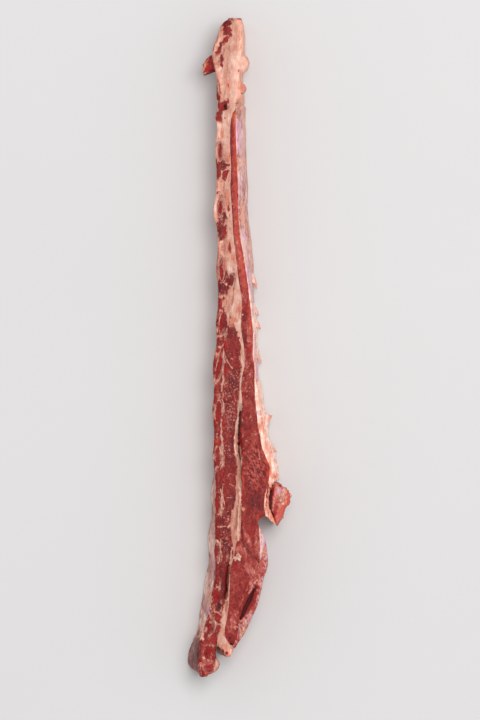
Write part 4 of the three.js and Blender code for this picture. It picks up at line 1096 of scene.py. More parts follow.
def tear(surface):
    """Torn bundles of fibres, where a surface is marked as torn: raised ridges with painted light
    on them, and sunken gaps with painted shade.
    """
    torn = surface.paint["torn"]
    turned = surface.points @ np.array([[0.8, 0.6, 0], [0.6, -0.8, 0], [0, 0, 1.0]])
    bundle = np.abs(noise(turned, (2.8, 8.0, 9.0), 24, 2))
    ridge = ramp(bundle, 0.02, 0.26)
    pit = ramp(noise(turned, (2.6, 7.0, 9.0), 27, 2), 0.4, 0.6)
    surface.relief += torn * (1.5 * ridge - 1.8 * pit)
    # Painted light on the ridges and painted shade in the gaps and pits.
    surface.add(tone=torn * (0.6 * ridge - 0.3), warm=torn * 0.12 * ridge)
    surface.paint_shade(torn * np.maximum(0.42 * (1 - ridge), 0.6 * pit))


class Scrap:
    """A ragged slab with a drawn edge, such as a flake of fat, that grows out of a layer."""

    corners = 72
    face_rings = 9
    side_rings = 18

    def __init__(self, edge, foot, tall, ragged, seed, wall=None):
        edge = self.smoothed(np.array(edge, dtype=float))
        middle = edge.mean(axis=0)
        rings = []
        top = foot + tall
        for step in np.linspace(0.03, 1, self.face_rings):
            rings.append((top - rounding((1 - step) * 6, 2.0), step))
        for height in np.linspace(top - 2.4, foot + 2.0, self.side_rings):
            rings.append((height, 1.0))
        for step in np.linspace(1, 0.03, self.face_rings):
            rings.append((foot + rounding((1 - step) * 6, 1.6), step))
        points = []
        for height, step in rings:
            points.append(raised(middle + (edge - middle) * step, height))
        points = np.concatenate(points)
        if wall is not None:
            points[:, 0] += wall(points[:, 1], points[:, 2])
        looks = points[:, :2].copy()
        for axis in range(2):
            points[:, axis] += ragged * noise(points, (3.2, 3.2, 5.0), 201 + axis + seed, 3)
        points[:, 2] += 0.7 * ragged * noise(points, (3.2, 3.2, 1e3), 205 + seed, 3)
        self.points = points
        self.quads, self.faces = standing_tube(points, len(rings), self.corners)
        self.surface = Surface(points, looks)

    def smoothed(self, edge):
        """The edge as evenly spaced points, turned to go round counter-clockwise."""
        closed = np.vstack([edge, edge[:1]])
        run = np.concatenate([[0], np.cumsum(np.hypot(*np.diff(closed, axis=0).T))])
        along = np.linspace(0, run[-1], self.corners, endpoint=False)
        even = np.column_stack([np.interp(along, run, closed[:, axis]) for axis in range(2)])
        for _ in range(3):
            even = 0.25 * np.roll(even, 1, axis=0) + 0.5 * even + 0.25 * np.roll(even, -1, axis=0)
        area = np.sum(even[:, 0] * np.roll(even[:, 1], -1) - even[:, 1] * np.roll(even[:, 0], -1))
        return even if area > 0 else even[::-1]

    def finish(self, name, node, slot, material):
        """Moves the points to their relief and makes the object."""
        height = 0.8 * fine_relief(self.surface)
        points = self.points + normals_of(self.points, self.quads) * height[:, None]
        make_piece(name, points, self.faces, self.surface, material, node, slot)


# ---- Materials ------------------------------------------------------------------------------


def linear(red, green, blue):
    """A colour as it is seen, from 0 to 255, in Blender's linear values."""
    parts = [part / 255 for part in (red, green, blue)]
    parts = [p / 12.92 if p <= 0.04045 else ((p + 0.055) / 1.055) ** 2.4 for p in parts]
    return (*parts, 1.0)


HAZE = 0.029  # what the sheen of a wet surface adds to its colour
LIT = 1.4  # how brightly the stage lights a face that looks up


def seen(red, green, blue):
    """The colour to give a wet surface, from the one that it has in the photograph."""
    return tuple(max(0.002, (part - HAZE) / LIT) for part in linear(red, green, blue)[:3]) + (1.0,)


BASE_PALETTE = {
    "lean": [seen(98, 34, 33), seen(132, 45, 42), seen(162, 62, 57), seen(200, 104, 95)],
    "fat": [seen(160, 94, 82), seen(204, 137, 118), seen(228, 171, 151), seen(243, 200, 185),
            seen(248, 224, 211)],
    "cold skin": [seen(150, 98, 112), seen(206, 150, 170), seen(236, 202, 214)],
    "mild skin": [seen(118, 70, 66), seen(200, 146, 134), seen(242, 206, 194)],
    "blood": seen(166, 40, 42),
    "vein": seen(212, 150, 136),
    "orange lean": seen(214, 86, 68),
    "orange fat": seen(238, 132, 108),
    "blue": seen(138, 106, 114),
    # the colour of painted shade in clefts, holes and folds, and of bruises and brown spots
    "dark": seen(84, 38, 35),
}

BONE_PALETTE = {
    **BASE_PALETTE,
    "lean": [seen(96, 22, 26), seen(128, 30, 36), seen(156, 44, 46), seen(188, 98, 92)],
    "fat": [seen(150, 82, 76), seen(178, 112, 102), seen(200, 142, 128), seen(220, 176, 160),
            seen(236, 206, 192)],
}

LUMP_PALETTE = {
    **BASE_PALETTE,
    "lean": [seen(120, 44, 44), seen(178, 76, 70), seen(214, 106, 96), seen(236, 152, 142)],
    "mild skin": [seen(150, 84, 92), seen(208, 142, 148), seen(238, 190, 190)],
}


WALL_LIGHT_GAIN = 1.6  # painted light: how much brighter the steep outer walls are painted than the sawn face, to offset their shade
WALL_LIGHT_LIMIT = 0.92  # and the lightest that this painted light makes them


class Graph:
    """A material's nodes, with one short method for each thing that it works out."""

    def __init__(self, name):
        self.material = bpy.data.materials.new(name)
        self.material.use_nodes = True
        self.tree = self.material.node_tree
        self.tree.nodes.clear()

    def node(self, kind, *inputs, output=0, **settings):
        """A new node: its inputs are pairs of a socket and what it is given."""
        made = self.tree.nodes.new(kind)
        for key, value in settings.items():
            setattr(made, key, value)
        for socket, value in inputs:
            self.give(made.inputs[socket], value)
        return made.outputs[output] if len(made.outputs) else None

    def give(self, socket, value):
        """Links an output to a socket, or sets the socket to a plain value."""
        if isinstance(value, bpy.types.NodeSocket):
            self.tree.links.new(value, socket)
        elif value is not None:
            socket.default_value = value

    def field(self, name):
        """A field of the paint."""
        return self.node("ShaderNodeAttribute", attribute_name=name, output="Fac")

    def math(self, operation, a, b=0.0, clamp=False):
        return self.node("ShaderNodeMath", (0, a), (1, b), operation=operation, use_clamp=clamp)

    def times(self, a, b):
        return self.math("MULTIPLY", a, b)

    def about(self, pattern, amount):
        """A pattern from 0 to 1 as a swing about 0."""
        return self.times(self.math("SUBTRACT", pattern, 0.5), amount)

    def varied(self, value, *patterns):
        """A value that patterns vary, each by an amount."""
        for pattern, amount in patterns:
            value = self.math("ADD", value, self.about(pattern, amount))
        return value

    def step(self, value, start, end):
        """0 at start, 1 at end and smooth in between."""
        return self.node(
            "ShaderNodeMapRange", ("Value", value), ("From Min", start), ("From Max", end),
            interpolation_type="SMOOTHSTEP")

    def mix(self, share, a, b, blend="MIX"):
        """The mix of two colours."""
        made = self.tree.nodes.new("ShaderNodeMix")
        made.data_type = "RGBA"
        made.blend_type = blend
        self.give(made.inputs["Factor"], share)
        self.give(made.inputs[6], a)
        self.give(made.inputs[7], b)
        return made.outputs[2]

    def colours(self, share, positions, colours):
        """A scale of colours, each at its position, that a share picks from."""
        made = self.tree.nodes.new("ShaderNodeValToRGB")
        elements = made.color_ramp.elements
        while len(elements) < len(positions):
            elements.new(0.5)
        for element, position, colour in zip(elements, positions, colours):
            element.position = position
            element.color = colour
        self.give(made.inputs[0], share)
        return made.outputs[0]

    def place(self, stretch=(1, 1, 1), turn=0.0):
        """The object's own coordinates in millimetres, shrunk by a stretch along each axis."""
        coordinates = self.node("ShaderNodeTexCoord", output="Object")
        turned = self.node(
            "ShaderNodeMapping", ("Vector", coordinates),
            ("Rotation", (0, 0, math.radians(turn))), ("Scale", (METRE, METRE, METRE)))
        return self.node(
            "ShaderNodeMapping", ("Vector", turned), ("Scale", tuple(1 / s for s in stretch)))

    def noise(self, size, stretch=(1, 1, 1), turn=0.0, detail=3.0):
        """A noise from 0 to 1, whose blobs are about `size` across."""
        return self.node(
            "ShaderNodeTexNoise", ("Vector", self.place(stretch, turn)), ("Scale", 1 / size),
            ("Detail", detail), ("Roughness", 0.6), output="Fac")

    def flecks(self, size, share):
        """Small ragged flecks, of which a larger share leaves more."""
        ragged = self.noise(size, (1, 1.4, 1), 30.0, detail=2.0)
        start = self.math("SUBTRACT", 0.74, share)
        return self.step(self.math("SUBTRACT", ragged, start), 0.0, 0.07)


def flesh(name, palette=BASE_PALETTE, grain=(1, 3.2, 2), grain_turn=0.0, rough=0.5, veins=1.0):
    """Lean, fat and skin in one material, which the painted fields choose between."""
    graph = Graph(name)
    fields = {field: graph.field(field) for field in SHOWN_FIELDS}
    blotch = graph.noise(6.0, (1, 1.6, 1.2), detail=4.0)
    fine = graph.noise(2.4, grain, grain_turn, detail=3.0)
    speck = graph.noise(1.5, detail=2.0)
    streak = graph.noise(2.2, (1, 6, 3), 4.0, detail=4.0)

    tone = graph.varied(fields["tone"], (blotch, 0.9))
    lean_tone = graph.varied(tone, (fine, 0.9), (speck, 1.0))
    lean = graph.colours(lean_tone, (0.0, 0.32, 0.62, 1.0), palette["lean"])
    fat_tone = graph.varied(tone, (streak, 0.8), (speck, 0.5))
    fat = graph.colours(fat_tone, (0.0, 0.3, 0.6, 0.85, 1.0), palette["fat"])
    skin_tone = graph.varied(fields["tone"], (streak, 1.4))
    cold, mild = (graph.colours(skin_tone, (0.0, 0.5, 1.0), palette[kind])
                  for kind in ("cold skin", "mild skin"))
    skin = graph.mix(graph.step(graph.varied(fields["warm"], (blotch, 1.2)), 0.1, 0.6), cold, mild)

    red = graph.varied(fields["blood"], (blotch, 0.6))
    lean = graph.mix(graph.step(red, 0.15, 1.0), lean, palette["blood"])
    ridge = graph.math("ABSOLUTE", graph.about(graph.noise(5.0, (1, 2.6, 1.6), 24.0), 2.0))
    vein = graph.math("SUBTRACT", 1.0, graph.step(ridge, 0.0, 0.055))
    patchy = graph.step(graph.noise(9.0, detail=1.0), 0.5, 0.62)
    vein = graph.times(vein, graph.times(patchy, 0.5 * veins))
    vein = graph.times(vein, graph.math("ADD", fields["marble"], 0.15, clamp=True))
    flecks = graph.times(graph.flecks(2.0, graph.times(fields["marble"], 0.16)), 0.85)
    lean = graph.mix(graph.math("MAXIMUM", vein, flecks), lean, palette["vein"])

    fatness = graph.step(graph.varied(fields["fat"], (fine, 1.3), (speck, 0.6)), 0.2, 0.8)
    colour = graph.mix(fatness, lean, fat)
    warm = graph.varied(fields["warm"], (blotch, 0.45))
    orange = graph.mix(fatness, palette["orange lean"], palette["orange fat"])
    colour = graph.mix(graph.times(graph.step(warm, 0.55, 1.15), 0.9), colour, orange)
    bluish = graph.times(graph.step(warm, 0.4, 0.0), 0.45)
    bluish = graph.times(bluish, graph.math("SUBTRACT", 1.0, fatness))
    colour = graph.mix(bluish, colour, palette["blue"])
    cover = graph.varied(fields["skin"], (fine, 0.8))
    colour = graph.mix(graph.step(cover, 0.2, 0.8), colour, skin)
    # Painted shade of clefts, holes and folds, and the darkness of bruises and brown spots.
    depth = graph.varied(fields["dark"], (speck, 0.2))
    colour = graph.mix(graph.step(depth, 0.12, 1.0), colour, palette["dark"])
    # Painted light: walls marked for it are painted brighter, up to a limit, to offset their shade.
    wall_light_factor = graph.mix(fields["pale"], (1.0, 1.0, 1.0, 1.0), (WALL_LIGHT_GAIN, WALL_LIGHT_GAIN, WALL_LIGHT_GAIN, 1.0))
    colour = graph.mix(1.0, colour, wall_light_factor, "MULTIPLY")
    colour = graph.mix(1.0, colour, (WALL_LIGHT_LIMIT, WALL_LIGHT_LIMIT, WALL_LIGHT_LIMIT, 1.0), "DARKEN")

    rough = graph.varied(rough, (graph.noise(3.5, detail=3.0), 0.5))
    rough = graph.math("ADD", rough, graph.times(fatness, 0.06), clamp=True)
    fibre = graph.noise(0.9, grain, grain_turn, detail=3.0)
    lobes = graph.noise(2.4, detail=3.0)
    height = graph.math("ADD", fibre, graph.times(lobes, 0.8))
    bump = graph.node(
        "ShaderNodeBump", ("Strength", 0.6), ("Distance", 0.0006), ("Height", height))
    shader = graph.node(
        "ShaderNodeBsdfPrincipled", ("Base Color", colour), ("Roughness", rough),
        ("Normal", bump), ("IOR", 1.42), ("Specular IOR Level", 0.28),
        ("Subsurface Weight", 0.05), ("Subsurface Scale", 0.002),
        ("Subsurface Radius", (1.0, 0.35, 0.2)))
    graph.node("ShaderNodeOutputMaterial", ("Surface", shader))
    return graph.material


# ---- What a user may change ------------------------------------------------------------------


class ShortRibsShape(bpy.types.PropertyGroup):
    """How finely the strip is built and how uneven its surface is."""

    row_step: bpy.props.FloatProperty(
        name="Row step", description="Spacing of the cross-sections along the strip",
        default=1.0 / METRE, min=0.0005, unit="LENGTH")
    relief: bpy.props.FloatProperty(
        name="Relief", description="Strength of the grain, lobes and clefts",
        default=1.0, min=0.0, max=2.0, subtype="FACTOR")


class ShortRibsStage(bpy.types.PropertyGroup):
    """The floor, the light and the camera."""

    camera_height: bpy.props.FloatProperty(
        name="Camera height", description="How far above the sawn face the camera looks down",
        default=6.0, min=1.0, unit="LENGTH")
    floor_colour: bpy.props.FloatVectorProperty(
        name="Floor", description="Colour of the plain floor", subtype="COLOR", size=4,
        default=linear(201, 200, 200), min=0.0, max=1.0)
    key_power: bpy.props.FloatProperty(
        name="Key light", description="Power of the large soft lamp",
        default=164.0, min=0.0, unit="POWER")
    sky: bpy.props.FloatProperty(
        name="Even light", description="Strength of the even light from all around",
        default=0.77, min=0.0, max=3.0)


# ---- Pieces ----------------------------------------------------------------------------------


class ShortRibsOperator(bpy.types.Operator):
    """Shared by the operators that build pieces of the strip."""

    bl_options = {"REGISTER", "UNDO"}

    def execute(self, context):
        self.build(context.scene.short_ribs_shape)
        return {"FINISHED"}


class LayerOperator(ShortRibsOperator):
    """Shared by the operators that build one layer of the strip each."""

    columns = 34  # points across the front face
    spacing = 1.0  # of the cross-sections, in row steps
    free = ()  # the walls that show
    open_ends = ()  # the ends that show
    pale = 1.0  # how strongly painted light brightens a free wall, to offset its shade
    hung_rounding = FREE_ROUNDING  # of the free edges at the hung end
    widen = None  # middle, reach and size of a swelling in the outer wall
    strength = 1.0  # of the relief
    look = {}  # what sets the material apart from plain flesh

    def build(self, shape):
        """Traces the layer, paints it, makes its mesh and adds the bits that grow out of it."""
        layer = Layer(
            self.node, self.columns, self.spacing * shape.row_step * METRE, self.free,
            self.open_ends, self.pale, self.hung_rounding, self.widen)
        self.paint(layer, layer.surface)
        material = flesh(self.slot, **self.look)
        layer.finish(self.title, self.slot, material, self.strength * shape.relief)
        self.add_scraps(layer, material)

    def add_scraps(self, layer, material):
        """Most layers have no ragged bits of their own."""


class OBJECT_OT_short_ribs_rib_layer(LayerOperator):
    """Builds the meat between and over the ribs, with its membrane side and torn flap"""

    bl_idname = "object.short_ribs_rib_layer"
    bl_label = "Rib Layer"

    node, title, slot = "rib_meat", "rib_layer", "rib_layer_lean"
    columns, spacing = 26, 1.04
    free, open_ends, pale = ("inner",), ("top", "bottom"), 0.55
    hung_rounding = HUNG_ROUNDING
    torn_flap = [(-27, 419), (-34, 411), (-41, 408.5), (-46, 404), (-49.5, 397.5), (-50.2, 390),
                 (-48.6, 382.6), (-45.6, 384.6), (-41, 386.5), (-34, 388), (-27, 391)]
    flap_foot, flap_height = 34, 40
    bruised_below = (-398, -412)  # the membrane is bruised from the first Y down to the second

    def paint(self, layer, surface):
        surface.fill(fat=0.3, tone=0.42, marble=0.4)
        surface.add(fat=0.5 * surface.noise((5, 9, 9), 91, 3))
        surface.add(fat=0.4 * ramp(surface.points[:, 1], 90, 200))
        surface.mottle(92)
        layer.bleed("tan fat", 2.2, 93, 0.6)
        self.paint_membrane(surface)
        surface.apply([*INNER_HALF, *LOWER_RIB_MARKS, *INNER_SIDE_MARKS], LINES)
        self.sink_pockets(layer)

    def paint_membrane(self, surface):
        """The thin skin over the ribs and the meat between them, on the inner side."""
        y, z = surface.points[:, 1], surface.points[:, 2]
        hidden = ramp(FRONT - z, 3.0, 9.0) * (surface.side == INNER_SIDE)
        nearest = np.full(len(y), np.inf)
        for rib in RIBS:
            front, rear = sawn_ends(rib)
            share = np.clip(z / FRONT, 0, 1)
            middle = rear.middle[1] + (front.middle[1] - rear.middle[1]) * share
            nearest = np.minimum(nearest, np.abs(y - middle) / front.length)
        over_rib = ramp(nearest + 0.25 * surface.noise(9.0, 81), 1.1, 0.75)
        surface.spread("membrane", hidden * (0.9 + 0.2 * surface.noise(14.0, 82)))
        surface.add(tone=hidden * (0.45 * over_rib - 0.1))
        bare = ramp(surface.noise((16, 18, 22), 83, 3), 0.05, 0.5) * (1 - over_rib)
        surface.spread("lean", hidden * bare * 0.55)
        fatty = ramp(surface.noise((20, 16, 20), 85, 3), 0.2, 0.6)
        surface.spread("cream fat", hidden * fatty * 0.6)
        bruised = ramp(y + 8 * surface.noise(9.0, 86), *self.bruised_below)
        surface.spread("bruised skin", 0.6 * hidden * bruised)
        surface.add(tone=hidden * 0.2 * surface.noise((16, 5, 20), 84))

    def sink_pockets(self, layer):
        """Lowers both sawn faces where a rib fills them."""
        for rib in RIBS:
            front, rear = sawn_ends(rib)
            for side, oval, sign in ((FRONT_SIDE, front, -1), (REAR_SIDE, rear, 1)):
                chosen = layer.surface.side == side
                inside = ramp(oval.radius(layer.points[chosen]), 1.0, 0.8)
                layer.points[chosen, 2] += sign * POCKET_DEPTH * inside

    def add_scraps(self, layer, material):
        flap = Scrap(self.torn_flap, self.flap_foot, self.flap_height, ragged=1.3, seed=1)
        flap.surface.fill(fat=0.2, tone=0.35, warm=0.7, blood=0.3)
        flap.surface.mottle(94)
        flap.surface.apply(TORN_FLAP_MARKS)
        flap.finish("torn_flap", self.node, self.slot, material)


class OBJECT_OT_short_ribs_ribs(ShortRibsOperator):
    """Builds the twelve sawn ribs, with their rims and marrow"""

    bl_idname = "object.short_ribs_ribs"
    bl_label = "Sawn Ribs"

    ring_corners = 72
    face_rings, wall_rings = 14, 8
    rim_rounding = 0.6
    halfway = 40  # from the rear sawn face to the front one

    def build(self, shape):
        material = flesh("bone", BONE_PALETTE, grain=(1, 1.4, 1), rough=0.52, veins=0.3)
        for rib in RIBS:
            self.build_rib(rib, material)

    def build_rib(self, rib, material):
        """A tube of ovals from the front sawn end to the rear one."""
        front, rear = sawn_ends(rib)
        angle = np.linspace(0, 2 * math.pi, self.ring_corners, endpoint=False)
        across, along = np.cos(angle), np.sin(angle)
        rings = []
        for step in np.linspace(0.02, 1, self.face_rings):
            drop = rounding((1 - step) * front.thick, self.rim_rounding)
            rings.append((FRONT + 0.15 - drop, front, step))
        for height in np.linspace(FRONT - 1.5, 1.6, self.wall_rings):
            rings.append((height, oval_at(rib, height), 1.0))
        for step in np.linspace(1, 0.02, self.face_rings):
            rise = rounding((1 - step) * rear.thick, self.rim_rounding)
            rings.append((0.25 + rise, rear, step))
        points, looks, radii = [], [], []
        for height, oval, step in rings:
            points.append(raised(oval.place(across * step, along * step), height))
            looks.append(front.place(across * step, along * step))
            radii.append(np.full(self.ring_corners, step))
        points, looks, radii = (np.concatenate(part) for part in (points, looks, radii))
        surface = Surface(points, looks)
        self.paint_rib(surface, radii)
        marrow = 1 - surface.paint["fat"]
        relief = -0.5 * ramp(marrow, 0.3, 0.8) + 0.3 * surface.noise(1.8, 96) * (0.4 + marrow)
        ends = (points[:, 2] > FRONT - 1) | (points[:, 2] < 1.5)
        upper = points[:, 2] > self.halfway
        moved = warp(points)
        moved[:, 2] += shared_relief(surface) * upper
        moved[:, 2] += np.where(upper, 1, -1) * relief * ends * (radii < 0.97)
        moved[:, 2] = np.maximum(moved[:, 2], 0)
        faces = standing_tube(moved, len(rings), self.ring_corners)[1]
        title = rib.replace("rib_bone", "sawn_rib")
        make_piece(title, moved, faces, surface, material, rib, "bone")

    def paint_rib(self, surface, radii):
        """A pale rim, then darker spongy bone, then what the marks show of the marrow."""
        uneven = radii + 0.12 * surface.noise((3, 6, 3), 97, 3)
        rim = ramp(uneven, 0.74, 0.92)
        surface.fill(fat=0.72, tone=0.25, blood=0.15, warm=0.45)
        surface.add(fat=0.28 * rim - 0.25 * ramp(uneven, 0.6, 0.3))
        surface.add(tone=0.5 * rim + 0.25 * surface.noise((4, 7, 4), 95))
        surface.apply(RIB_MARKS)


class OBJECT_OT_short_ribs_inner_fat(LayerOperator):
    """Builds the fat of the hung end, its tab and hole, and the seam that runs on from it"""

    bl_idname = "object.short_ribs_inner_fat"
    bl_label = "Inner Fat"

    node, title, slot = "inner_fat", "inner_fat_seam", "seam_fat"
    spacing = 1.12
    free, open_ends, pale = ("outer",), ("top", "bottom"), 0.6
    hung_rounding = HUNG_ROUNDING
    look = {"rough": 0.52}
    tab = [(-3, 374), (3, 373), (7.6, 369.5), (10.8, 364.2), (8, 360), (6.6, 357), (-3, 354)]
    tab_foot, tab_height = 26, 37
    hole, hole_radius, hole_depth = (-16.8, 337), 4.0, 15.0

    def paint(self, layer, surface):
        surface.fill(fat=1.0, tone=0.62, warm=0.44)
        surface.add(tone=-0.3 * ramp(surface.points[:, 1], -110, -180))
        surface.mottle(101, 0.15, 0.25)
        surface.apply(INNER_HALF, LINES)
        from_hole = np.hypot(*(surface.points[:, :2] - self.hole).T)
        pit = ramp(from_hole, self.hole_radius, 0.4 * self.hole_radius)
        surface.relief -= self.hole_depth * pit * (surface.side == FRONT_SIDE)

    def add_scraps(self, layer, material):
        tab = Scrap(self.tab, self.tab_foot, self.tab_height, ragged=0.9, seed=2)
        tab.surface.fill(fat=0.8, tone=0.45, warm=0.85)
        tab.surface.mottle(103)
        tab.surface.apply(HUNG_END)
        tab.finish("small_tab", self.node, self.slot, material)


class OBJECT_OT_short_ribs_inner_muscle(LayerOperator):
    """Builds the marbled muscle inside the seam"""

    bl_idname = "object.short_ribs_inner_muscle"
    bl_label = "Inner Muscle"

    node, title, slot = "inner_muscle", "marbled_muscle", "marbled_lean"
    widen = (-330, 45, 3.5)  # it reaches under the end of the seam
    look = {"grain": (1, 1.6, 1.4)}

    def paint(self, layer, surface):
        surface.fill(tone=0.42, marble=0.4, blood=0.12)
        surface.mottle(111)
        layer.bleed("tan fat", 2.0, 113, 0.6)
        surface.apply([*INNER_HALF, *LOWER_RIB_MARKS], LINES)


class OBJECT_OT_short_ribs_outer_muscle(LayerOperator):
    """Builds the long outer muscle, down to its tongue"""

    bl_idname = "object.short_ribs_outer_muscle"
    bl_label = "Outer Muscle"

    node, title, slot = "outer_muscle", "long_muscle", "outer_lean"
    columns, open_ends = 44, ("bottom",)
    look = {"grain": (1, 2.4, 2), "grain_turn": 8.0}

    def paint(self, layer, surface):
        y = surface.points[:, 1]
        surface.fill(tone=0.5, marble=0.15)
        upper = ramp(y, 20, 110)
        surface.add(warm=0.22 * upper, tone=0.12 * upper)
        surface.add(tone=0.1 * ramp(np.abs(y - 40), 130, 60))
        surface.add(tone=0.2 * ramp(y, -230, -250))
        surface.mottle(121, 0.2, 0.1)
        layer.bleed("tan fat", 1.4, 123, 0.5)
        surface.apply(OUTER_MUSCLE_MARKS, LINES)
        tear(surface)


class OBJECT_OT_short_ribs_fascia(LayerOperator):
    """Builds the silvery skin on the outer side of the upper half"""

    bl_idname = "object.short_ribs_fascia"
    bl_label = "Fascia"

    node, title, slot = "outer_fascia", "fascia_skin", "fascia"
    columns, free, pale = 16, ("outer",), 0.85
    look = {"grain": (1, 4, 2), "rough": 0.42}

    def paint(self, layer, surface):
        surface.fill(skin=1.0, warm=0.38, tone=0.56)
        surface.mottle(131, 0.35, 0.4)
        fatty = ramp(surface.noise((9, 18, 14), 133, 3), 0.1, 0.35)
        surface.add(skin=-0.8 * fatty, fat=fatty)
        surface.add(warm=0.2 * ramp(surface.points[:, 2], FRONT - 4, FRONT - 20))
        surface.apply([*HUNG_END, *OUTER_SIDE_MARKS], LINES)

    def add_scraps(self, layer, material):
        add_flakes(layer, FASCIA_FLAKES, "fascia_flake", self.slot, material)


class OBJECT_OT_short_ribs_cover_fat(LayerOperator):
    """Builds the fat cover on the outer side of the lower half, with its flakes"""

    bl_idname = "object.short_ribs_cover_fat"
    bl_label = "Cover Fat"

    node, title, slot = "outer_fat", "fat_cover", "cover_fat"
    columns, free, open_ends, pale = 18, ("outer",), ("bottom",), 0.9
    look = {"rough": 0.52}
    ragged_below = (-70, -100)  # the wall gets ragged from the first Y down to the second

    def paint(self, layer, surface):
        surface.fill(fat=1.0, tone=0.88, warm=0.45)
        # Painted light: the sawn face is given a slightly darker tone than the walls that show.
        surface.add(tone=-0.06 * (surface.side == FRONT_SIDE))
        surface.mottle(141, 0.2, 0.3)
        surface.apply(OUTER_SIDE_MARKS, LINES)
        ragged = ramp(surface.points[:, 1], *self.ragged_below) * (surface.side == OUTER_SIDE)
        surface.relief += 2.0 * ragged * surface.noise((5, 4.0, 7), 143, 3)
        surface.add(warm=0.4 * ragged * ramp(surface.noise((6, 5, 6), 145, 2), 0, 0.4))

    def add_scraps(self, layer, material):
        add_flakes(layer, FAT_FLAKES, "fat_flake", self.slot, material)


def add_flakes(layer, flakes, title, slot, material):
    """Ragged, pointed flakes that are rooted in the outer wall."""
    for number, (y, length, reach, foot, tall, tip) in enumerate(flakes, start=1):
        edge = [(-2.2, y + 1), (0.5 * reach, y - 0.4 * tip * length), (reach, y - tip * length),
                (0.55 * reach, y - (0.25 + 0.62 * tip) * length),
                (0.35 * reach, y - (0.6 + 0.12 * tip) * length),
                (-2.2, y - (1 - 0.35 * tip) * length)]
        flake = Scrap(edge, foot, tall, ragged=1.1, seed=10 * number,
                      wall=functools.partial(layer.wall_at, "outer"))
        outward = flake.points[:, 0] - layer.wall_at("outer", *flake.points[:, 1:].T)
        from_tip = np.clip(np.abs(flake.points[:, 1] - (y - tip * length)) / length, 0, 1)
        slim = (1 - 0.55 * ramp(outward, 0, reach)) * (0.45 + 0.55 * np.sqrt(from_tip))
        middle = foot + 0.5 * tall
        flake.points[:, 2] = middle + (flake.points[:, 2] - middle) * slim
        warm = 0.46 + 0.46 * ramp(outward, 0.2 * reach, 0.9 * reach)
        # The flake is steep, so it gets painted light as the walls do.
        flake.surface.fill(fat=0.95, tone=0.82, pale=0.5, warm=warm)
        flake.surface.mottle(150 + number, 0.3, 0.3)
        flake.finish(f"{title}_{number}", layer.node, slot, material)


class OBJECT_OT_short_ribs_lobe(LayerOperator):
    """Builds the smooth lobe under the tongue"""

    bl_idname = "object.short_ribs_lobe"
    bl_label = "Lower Lobe"

    node, title, slot = "lower_lobe", "smooth_lobe", "lobe_lean"
    open_ends, strength = ("bottom",), 0.7
    look = {"grain": (1, 2, 2), "grain_turn": -25.0, "veins": 0.4}

    def paint(self, layer, surface):
        surface.fill(tone=0.58, marble=0.05)
        surface.mottle(151, 0.16, 0.1)
        surface.apply(LOBE_MARKS, LINES)


class OBJECT_OT_short_ribs_flap(LayerOperator):
    """Builds the flap outside the lobe, with its dark slit"""

    bl_idname = "object.short_ribs_flap"
    bl_label = "Outer Flap"

    node, title, slot = "outer_flap", "outer_flap_lean", "flap_lean"
    columns, free, open_ends, pale = 40, ("outer",), ("bottom",), 0.5
    look = {"grain": (1, 3, 2), "grain_turn": -25.0}
    slit = [(254.4, 590), (251.4, 596), (247.6, 604), (244, 612), (240.6, 619)]
    slit_widest = (603, 608)  # the pixels down between which it is widest
    slit_half_width, slit_depth = 2.3, 12.0

    def paint(self, layer, surface):
        surface.fill(tone=0.8, warm=0.44, skin=0.5, fat=0.12)
        surface.mottle(161, 0.22, 0.15)
        surface.apply([*OUTER_SIDE_MARKS, *LOBE_MARKS], LINES)
        self.cut_slit(surface)

    def cut_slit(self, surface):
        """A slit cut into the front face, with painted shade in it and beside it."""
        down = PIXEL_OVER_ORIGIN[1] - surface.points[:, 1] / PIXEL
        right = PIXEL_OVER_ORIGIN[0] + surface.points[:, 0] / PIXEL
        away = distance_to(self.slit, np.column_stack([right, down]))
        first, last = self.slit_widest
        taper = ramp(down, self.slit[0][1] - 2, first) * ramp(down, self.slit[-1][1] + 1.5, last)
        width = self.slit_half_width * (0.35 + 0.65 * taper)
        front = surface.side == FRONT_SIDE
        open_slit = ramp(away, width, 0.35 * width) * front
        surface.relief -= self.slit_depth * open_slit
        # Painted shade in the slit and in the lean beside it.
        surface.paint_shade(open_slit)
        surface.spread("dark lean", 0.8 * ramp(away, 3.2 * width, width) * front)


class OBJECT_OT_short_ribs_lump(LayerOperator):
    """Builds the lump of lean that hangs from the outer fat"""

    bl_idname = "object.short_ribs_lump"
    bl_label = "Hanging Lump"

    node, title, slot = "hanging_lump", "torn_lump", "lump_lean"
    spacing = 0.8
    free, open_ends, pale = ("inner", "outer"), ("top", "bottom"), 0.35
    look = {"palette": LUMP_PALETTE, "grain": (1, 1.6, 1)}
    inner_edge = 272.6  # the pixel right up to which all of it is the inner part
    shade_from, shade_to = 274.5, 271.5  # the pixels right over which painted shade darkens the inner part

    def paint(self, layer, surface):
        surface.fill(tone=0.76, warm=0.6)
        surface.apply(LUMP_MARKS)
        surface.mottle(171, 0.25, 0.15)
        front = surface.side == FRONT_SIDE
        # Painted shade on the inner part of the lump.
        inner = (surface.side == INNER_SIDE) | (surface.right < self.inner_edge)
        surface.add(dark=0.8 * inner * ramp(surface.right, self.shade_from, self.shade_to))
        surface.relief += 2.6 * surface.noise((6, 5, 7), 172, 3) * ~front
        # Painted shade in the folds of the walls.
        folds = np.abs(surface.noise((6, 16, 5), 174, 3))
        surface.add(dark=0.5 * ramp(folds, 0.07, 0.0) * ~front)
        surface.relief += 1.2 * surface.noise((9, 7, 9), 173, 2) * front


